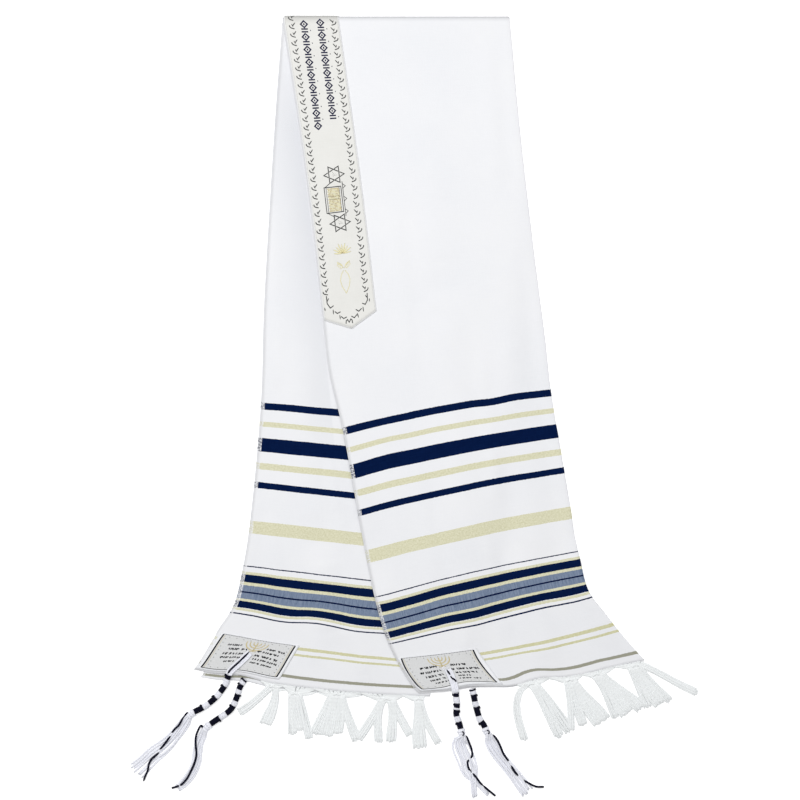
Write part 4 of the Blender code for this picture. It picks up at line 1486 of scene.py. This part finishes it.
def gatherRibbon(bag, start, outward, centre, out, run):  # three warp ends from one place on the hem
    f = fringe
    radius = f["strandRadius"]
    aside = (centre - start).normalized()
    reach = (centre - start).length
    for k in (-1, 0, 1):
        shift = run * k * f["ribbonStep"]
        line = [  # from within the cloth, over its edge and along the hem, to the knot
            start - outward * 0.4 + shift + Vector((0, 0, 0.3)),
            start + outward * (1.2 + 0.3 * k) + aside * reach * 0.22 + shift * 0.8,
            start + outward * (2.5 + 0.8 * k) + aside * reach * 0.6,
            centre + out * (0.8 * k + dice.uniform(-0.5, 0.5)) + run * dice.uniform(-1, 1),
        ]
        line[0].z = max(radius, line[0].z)
        for point in line[1:3]:
            point.z = max(f["offFloor"] + radius + 0.4 * (k + 1), point.z)
        addTube(bag, evenly(line, 9), radius * 0.9, 6)


def hangLock(bag, lock, settle, origin, centre, out):
    f = fringe
    side, down, width, bend = lock
    radius = f["strandRadius"]
    low = f["offFloor"] + radius
    aim = centre + Vector((side, -down - settle, 0)) - origin
    aim.z = 0
    heading = aim.normalized()
    broad = Vector((-heading.y, heading.x, 0))
    neck, foot = min(width, f["neck"]) - 1.4, width - 1.4
    radii = [radius * share for share in (*[1.0] * 12, 0.9, 0.5)]
    count = max(f["fewest"], int(width * f["perMm"]))
    for k in range(count):
        share = k / (count - 1) - 0.5
        share += 0.35 * math.sin(share * 19) / count
        onTop = k % 2 * radius * 0.55
        length = 1 + dice.uniform(-f["uneven"], f["uneven"]) - 0.03 * abs(share)
        wave = dice.uniform(0, 6.28)
        centres = []
        for i in range(len(radii)):
            s = min(i / 12, 1.014)
            p = origin + aim * s * length + broad * share * (neck + (foot - neck) * ease(s * 1.2))
            p += Vector((bend, 0, 0)) * math.sin(math.pi * min(1, s) ** 0.62)
            p += out * f["bulge"] * math.sin(math.pi * s) + broad * f["sway"] * math.sin(wave + 5 * s)
            heaped = onTop + f["heap"] * (1 - abs(2 * share)) * ease(s * 2)
            p.z = low + (centre.z - low) * (1 - ease(s * 2.6)) + heaped
            centres.append(p)
        addTube(bag, centres, radii, 6)


def makeFringe(fall):
    f = fringe
    bag = newBag()
    knots = f[fall]
    hemFrom, hemTo = f["hemEnds"]
    for index, (across, ply, locks) in enumerate(knots):
        root, out, run = hemFrame(fall, across, ply)
        centre = root + out * f["knotOut"]
        centre.z = max(root.z, f["offFloor"] + f["knotHeight"])
        before = knots[index - 1][0] if index else across - 0.1
        after = knots[index + 1][0] if index + 1 < len(knots) else 1.0
        for layer, shares in f["ribbons"].items():
            for end in (before, after):
                for share in shares:
                    place = min(hemTo, max(hemFrom, across + (end - across) * share))
                    start, outward, _ = hemFrame(fall, place, layer)
                    gatherRibbon(bag, start, outward, centre, out, run)
        for tilt, aside in f["knotTurns"]:
            c, s = math.cos(math.radians(tilt)), math.sin(math.radians(tilt))
            arm, ahead = run * c + out * s, out * c - run * s
            middle = centre + run * aside + ahead * 0.4
            stampKnot(bag, middle, f["knotRadius"], arm, Vector((0, 0, f["knotFlat"])), ahead)
        for which, lock in enumerate(locks):
            origin = centre + run * f["stagger"] * (which - (len(locks) - 1) / 2)
            hangLock(bag, lock, f["settle"][fall], origin, centre, out)
    return finishPiece(bagObject("fringe" + fall.title(), bag, [yarnFinish]), "yarn", "fringe_" + fall)


# the corner tassels

tassels = {
    "strandRadius": 1.38,  # mm
    "cordRadius": 1.3,
    "coreRadius": 3.45,
    "windRadius": 0.65,
    "windPitch": 1.15,
    "turnSteps": 12,
    "swell": 0.32,  # of a white block in its middle, for each share that its thread is fatter
    "crossingRadius": 0.75,
    "blockKnot": 1.2,  # mm, how much wider than the core
    "lastKnot": (2.1, 0.4),  # the same, and how much less for each turn down
    "curl": (2.8, 2.6, 0.6),  # to the side, ahead and down
    "curlAngles": (-1.3, -0.6, 0.1, 0.8, 1.5),
    "cordRest": 1.3,  # mm, over the cloth
    "cordSteps": 15,
    "cordStrands": (-3.5, -1.2, 1.2, 3.5),
    "strandLifts": (0, 1.1, 0.3, 1.4, 0.2, 1.0, 0),  # how far each lies over the lowest, in radii
    "bellyAt": (0, 0.12, 0.35, 0.6, 0.8, 1),  # shares of the way where the spread of the strands is known
    "navyRise": 3.6,  # mm, where the navy strand lies on top
    "offFloor": 0.45,
    "all": {
        "BackOver": {
            "node": "tzitzit_back_over",
            "fall": "back",
            # the navy strand on the cord: where it shows, from and to, and how far it lies to the side there
            "navyCord": [(0.02, 1.0, -1.6, -1.2)],
            "cord": [(-204.5, -318), (-216.5, -329.5), (-226, -338), (-230.5, -342.5)],
            # x, y and how far it rests above the floor
            "wound": [
                (-232, -346, 4.6), (-234, -352, 3.8), (-236, -358, 1.6), (-241, -366, 0.4),
                (-249, -376, 0.4), (-264, -388, 0.4), (-279, -396, 0.4), (-285, -402, 0.4),
            ],
            # navy and white blocks and the last knot, each with its length
            "windings": "n6 w10 n10.5 w8.5 n12 w9 n13 k10.5",
            "white": [
                (-295, -416.5), (-305.5, -429.5), (-316, -440), (-330, -450.5), (-341, -461.5),
                (-356, -475),
            ],
            "navy": [
                # x, y and how far up it lies, from under the white to on top
                (-285.5, -395.6, 1), (-292, -403.7, 1), (-297.4, -412.3, 1), (-302.8, -417.7, 0.8),
                (-307.1, -424.2, 0.3), (-313.6, -433.9, 1), (-319.5, -441.4, 0.8), (-322.8, -446, 0.2),
                (-325.5, -450, 0.9), (-331.9, -455.5, 1), (-335.7, -461.9, 1), (-337.3, -470.5, 1),
                (-340.5, -478, 0.8), (-343.2, -485, 0.2),
            ],
            "belly": (8.0, 9.0, 9.0, 11.0),
        },
        "BackUnder": {
            "node": "tzitzit_back_under",
            "fall": "back",
            "cord": [],
            "wound": [
                (-211, -352.6, 1.1), (-216, -359, 0.9), (-219, -366, 0.4), (-222, -376, 0.4),
                (-230, -392, 0.4), (-251, -407, 0.4), (-260, -414, 0.4), (-264.5, -420, 0.4),
            ],
            "windings": "n3 w4.5 n8 w6 n9.5 w6.5 n14 w10 n14.5 k12.5",
            "white": [
                (-266, -426), (-270.5, -436), (-273, -448), (-275, -460), (-281, -474), (-291, -487.5),
                (-299.5, -495.5),
            ],
            "navy": [
                (-267.8, -412.3, 1), (-272.6, -419.9, 1), (-275.3, -429.6, 1), (-274.8, -440.4, 1),
                (-274.2, -451.1, 1), (-276.9, -461.9, 1), (-281.2, -471.6, 1), (-286.6, -481.3, 1),
                (-293, -488.6, 1), (-296.3, -490.6, 0.1), (-299.5, -491.6, 1), (-306, -493.7, 0.6),
            ],
            "belly": (5.2, 5.4, 5.2, 3.6),
        },
        "FrontOver": {
            "node": "tzitzit_front_over",
            "fall": "front",
            "navyCord": [(0.05, 0.15, -1.2, -0.8), (0.28, 0.52, -0.8, 3.6)],
            "cord": [(52, -339), (56, -347), (60, -358), (62, -367.6)],
            "wound": [
                (62.7, -370, 0.8), (63, -376, 0.4), (64, -385, 0.4), (63, -398, 0.4), (67, -410, 0.4),
                (70, -422, 0.4), (71.5, -428, 0.4),
            ],
            "windings": "n5.5 w8.3 n6 w2.3 n8.7 w7.4 n9.6 k11.5",
            "white": [
                (67.5, -434), (69.5, -443), (75.5, -457), (80, -470), (83, -484), (84, -500), (84, -508),
            ],
            "tail": [(90, -480), (99, -491), (109, -500.5)],  # where some of them part from the rest
            "navy": [
                (75.8, -426.7, 0.6), (79, -433.1, 1), (82.9, -443.4, 1), (83.5, -452, 1), (80, -456.5, 0.1),
                (77.7, -460.1, 1), (79, -467.8, 1), (83, -473.5, 0.1), (88.7, -479.4, 1), (94.4, -487.1, 1),
                (98.3, -490.9, 0.1), (102, -494, 1), (108, -499, 1), (113.7, -503.8, 0.6),
            ],
            "belly": (10.5, 10.5, 6.0, 5.2),
        },
        "FrontUnder": {
            "node": "tzitzit_front_under",
            "fall": "front",
            "cord": [],
            "wound": [
                (83.2, -365, 1.0), (85, -371, 0.4), (89, -389, 0.4), (94, -405, 0.4), (99, -412, 0.4),
                (102, -419, 0.4), (106, -426, 0.4),
            ],
            "windings": "n2.6 w5 n9.4 w6.8 n12.6 w7.6 n9.5 k12.3",
            "white": [
                (106.5, -432), (116.3, -448.5), (126.5, -461.4), (137.5, -475.5), (149, -491),
                (157, -501.5),
            ],
            "navy": [
                (111, -425.5, 0.6), (116.3, -431.5, 1), (120.5, -440, 1), (124, -448.5, 1),
                (128.5, -455.5, 1), (132, -460, 0.1), (134.4, -464, 0.1), (136.5, -468.5, 1),
                (140.5, -474.5, 1), (144.5, -478.5, 0.1), (151, -484, 0.1), (156, -486.6, 1),
                (166.4, -491.6, 1), (176.7, -492.2, 0.6),
            ],
            "belly": (7.0, 7.4, 7.0, 7.0),
        },
    },
}


def routeFrame(route, lengths, at):  # a place along the route, the way ahead, to the side and up
    last = len(route) - 2
    span = next((i for i in range(last) if at < lengths[i + 1]), last)
    share = (at - lengths[span]) / (lengths[span + 1] - lengths[span])
    ahead = (route[min(span + 2, last + 1)] - route[max(span - 1, 0)]).normalized()
    arm = levelArm(ahead)
    return route[span].lerp(route[span + 1], share), ahead, arm, arm.cross(ahead)


def addWinding(bag, route, lengths, start, end, tag, fat):
    t = tassels
    perTurn = t["turnSteps"]
    steps = max(1, round((end - start) / (t["windPitch"] * fat))) * perTurn
    centres, arms = [], []
    for i in range(steps + 1):
        p, _, arm, lift = routeFrame(route, lengths, start + (end - start) * i / steps)
        angle = 2 * math.pi * i / perTurn
        out = arm * math.cos(angle) + lift * math.sin(angle)
        swell = 1 + t["swell"] * (fat - 1) * math.sin(math.pi * i / steps)
        centres.append(p + out * t["coreRadius"] * swell)
        arms.append(out)
    addTube(bag, centres, t["windRadius"] * fat, 5, tag, arms=arms)


def layCord(bag, own, end):  # the flat cord over the patch, four strands side by side, and the navy one on it
    t = tassels
    radius = t["cordRadius"]
    cord = [Vector((x, y, topHeight(own["fall"], x, y) + t["cordRest"] + radius)) for x, y in own["cord"]]
    last = t["cordSteps"]
    path = evenly([*cord, end], last + 1)
    places = list(zip(path, directions(path)))
    for k, offset in enumerate(t["cordStrands"]):
        centres = []
        for i, (p, ahead) in enumerate(places):
            pinch = 0.84 + 0.16 * ease(i / 3) - 0.1 * ease((i - 11) / 4)
            heave = Vector((0, 0, 0.25 * math.sin(i * 1.3 + k)))
            centres.append(p - levelArm(ahead) * offset * pinch + heave)
        addTube(bag, centres, radius * 1.05, 6)
    for appears, hides, fromSide, toSide in own["navyCord"]:
        first, final = int(last * appears), int(last * hides + 0.99)
        centres = []
        for i in range(first, final + 1):
            p, ahead = places[min(i, last)]
            side = fromSide + (toSide - fromSide) * ease((i / last - appears) / (hides - appears))
            rise = 0.2 if i in (first, final) else 1.0
            centres.append(p - levelArm(ahead) * side + Vector((0, 0, rise)))
        addTube(bag, evenly(centres, 12), radius * 0.9, 6, 1)


def tieLastKnot(bag, own, route, lengths, start, end):
    t = tassels
    wider, less = t["lastKnot"]
    for k in range(3):
        p, ahead, arm, lift = routeFrame(route, lengths, start + (end - start) * (0.2 + 0.3 * k))
        radius = t["coreRadius"] + wider - less * k
        stampKnot(bag, p, radius, arm, lift, ahead * 1.3 + arm * (0.5 - 0.45 * k))
    if own["fall"] == "back":
        return
    # the navy strand curls round the front ones
    p, ahead, arm, lift = routeFrame(route, lengths, start + 0.5 * (end - start))
    top = p + lift * (t["coreRadius"] + 1.9)
    aside, onward, down = t["curl"]
    curl = []
    for a in t["curlAngles"]:
        c, s = math.cos(a), math.sin(a)
        curl.append(top - arm * aside * c + ahead * onward * s - lift * down * c**2)
    addTube(bag, evenly(curl, 12), t["crossingRadius"], 6, 1)


def windBlocks(bag, own, route, lengths):
    t = tassels
    parts = [(word[0], float(word[1:])) for word in own["windings"].split()]
    scale = lengths[-1] / sum(length for _, length in parts)
    start = 0.0
    for kind, length in parts:
        end = start + length * scale
        if kind == "n":
            addWinding(bag, route, lengths, start + 0.3, end - 0.3, 1, 1.0)
            p, ahead, arm, lift = routeFrame(route, lengths, start + 0.5)
            side = arm * dice.choice((-1, 1))  # where the thread crosses to start a block
            crossing = [p + side * 3.0 + lift * 2.6, p + side * 4.3 + lift * 1.2]
            crossing.append(p + side * 4.6 + ahead * dice.uniform(1.5, 3))
            addTube(bag, evenly(crossing, 6), t["crossingRadius"], 6, 1)
        elif kind == "w":
            addWinding(bag, route, lengths, start + 0.2, end - 0.2, 0, 1.25)
            p, ahead, arm, lift = routeFrame(route, lengths, (start + end) / 2)
            radius = t["coreRadius"] + t["blockKnot"]
            stampKnot(bag, p, radius, arm, lift, ahead + arm * dice.uniform(-0.5, 0.5))
        else:
            tieLastKnot(bag, own, route, lengths, start, end)
        start = end


def addStrands(bag, own, head, before):  # seven white strands and the navy one, loose below the last knot
    t = tassels
    radius = t["strandRadius"]
    low = t["offFloor"] + radius
    way = [Vector((x, y, low)) for x, y in own["white"]]
    main = evenly([before, head, *way], 22)
    tail = main
    if "tail" in own:
        tail = evenly([before, head, *way[:4], *(Vector((x, y, low)) for x, y in own["tail"])], 22)
    last = len(main) - 1
    radii = [radius] * last + [radius * 0.7]
    for k, lift in enumerate(t["strandLifts"]):
        share = (k - 3) / 3
        wave, amount = dice.uniform(0, 6.28), dice.uniform(0.5, 1.1)
        length = 1 - dice.uniform(0, 0.05)
        middle = tail if k > 3 else main
        centres = []
        for i, ahead in enumerate(directions(middle)):
            s, at = i / last, i * length
            belly = along(t["bellyAt"], (2.6, 0.8 * own["belly"][0], *own["belly"]), s)
            p = middle[int(at)].lerp(middle[min(last, int(at) + 1)], at % 1)
            p = p + levelArm(ahead) * (share * belly + amount * ease(s * 4) * math.sin(wave + 7 * s))
            heaped = lift * radius * (1 - 0.6 * ease((s - 0.6) * 2.5))
            p.z = low + (p.z - low) * (1 - ease(s * 3)) + heaped
            centres.append(p)
        addTube(bag, centres, radii, 6)
    navy = [Vector((x, y, low + t["navyRise"] * up)) for x, y, up in own["navy"]]
    centres = evenly([head, *navy], 60)
    # thin where it dives under the white
    radii = [radius * (0.3 + 0.7 * ease((p.z - low) / 1.8)) for p in centres]
    addTube(bag, centres, radii, 6, 1)


def makeTassel(name):
    t, own = tassels, tassels["all"][name]
    bag = newBag()
    rise = t["coreRadius"] + t["windRadius"] + 0.3
    wound = [Vector((x, y, z + rise)) for x, y, z in own["wound"]]
    if own["cord"]:
        layCord(bag, own, wound[0])
    route = evenly(wound, 40)
    lengths = [0.0]
    for a, b in zip(route, route[1:]):
        lengths.append(lengths[-1] + (b - a).length)
    addTube(bag, route, t["coreRadius"] * 0.92, 8)
    windBlocks(bag, own, route, lengths)
    addStrands(bag, own, route[-1], route[-3])
    return finishPiece(bagObject("tassel" + name, bag, [tasselWhite, tasselNavy]), "yarn", own["node"])


# making it

shawlCloth = makeShawl()
print("shawl laid:", len(shawlCloth.data.polygons), "faces")

neckbandCloth = makeNeckband()
neckbandStitching = makeNeckbandStitching()
print("neckband sewn")

patchFinish = makePatchFinish()
tasselWhite = makeYarnFinish("tasselWhite", colours["tasselWhite"], 0.0035, 2.0, 0.88)
tasselNavy = makeYarnFinish("tasselNavy", colours["tasselNavy"], 0.0035, 2.0, 0.7)
patchPieces = []
for fall in ("front", "back"):
    patchPieces.append(makePatch(fall))
    patchPieces += makePatchStitching(fall)
print("corner patches sewn")

yarnFinish = makeYarnFinish("fringeYarn", colours["whiteYarn"], 0.005, 2.0, 0.965)
fringePieces = [makeFringe("front"), makeFringe("back")]
print("fringe knotted")

for name in tassels["all"]:
    makeTassel(name)
print("tassels wound")

bpy.context.view_layer.update()
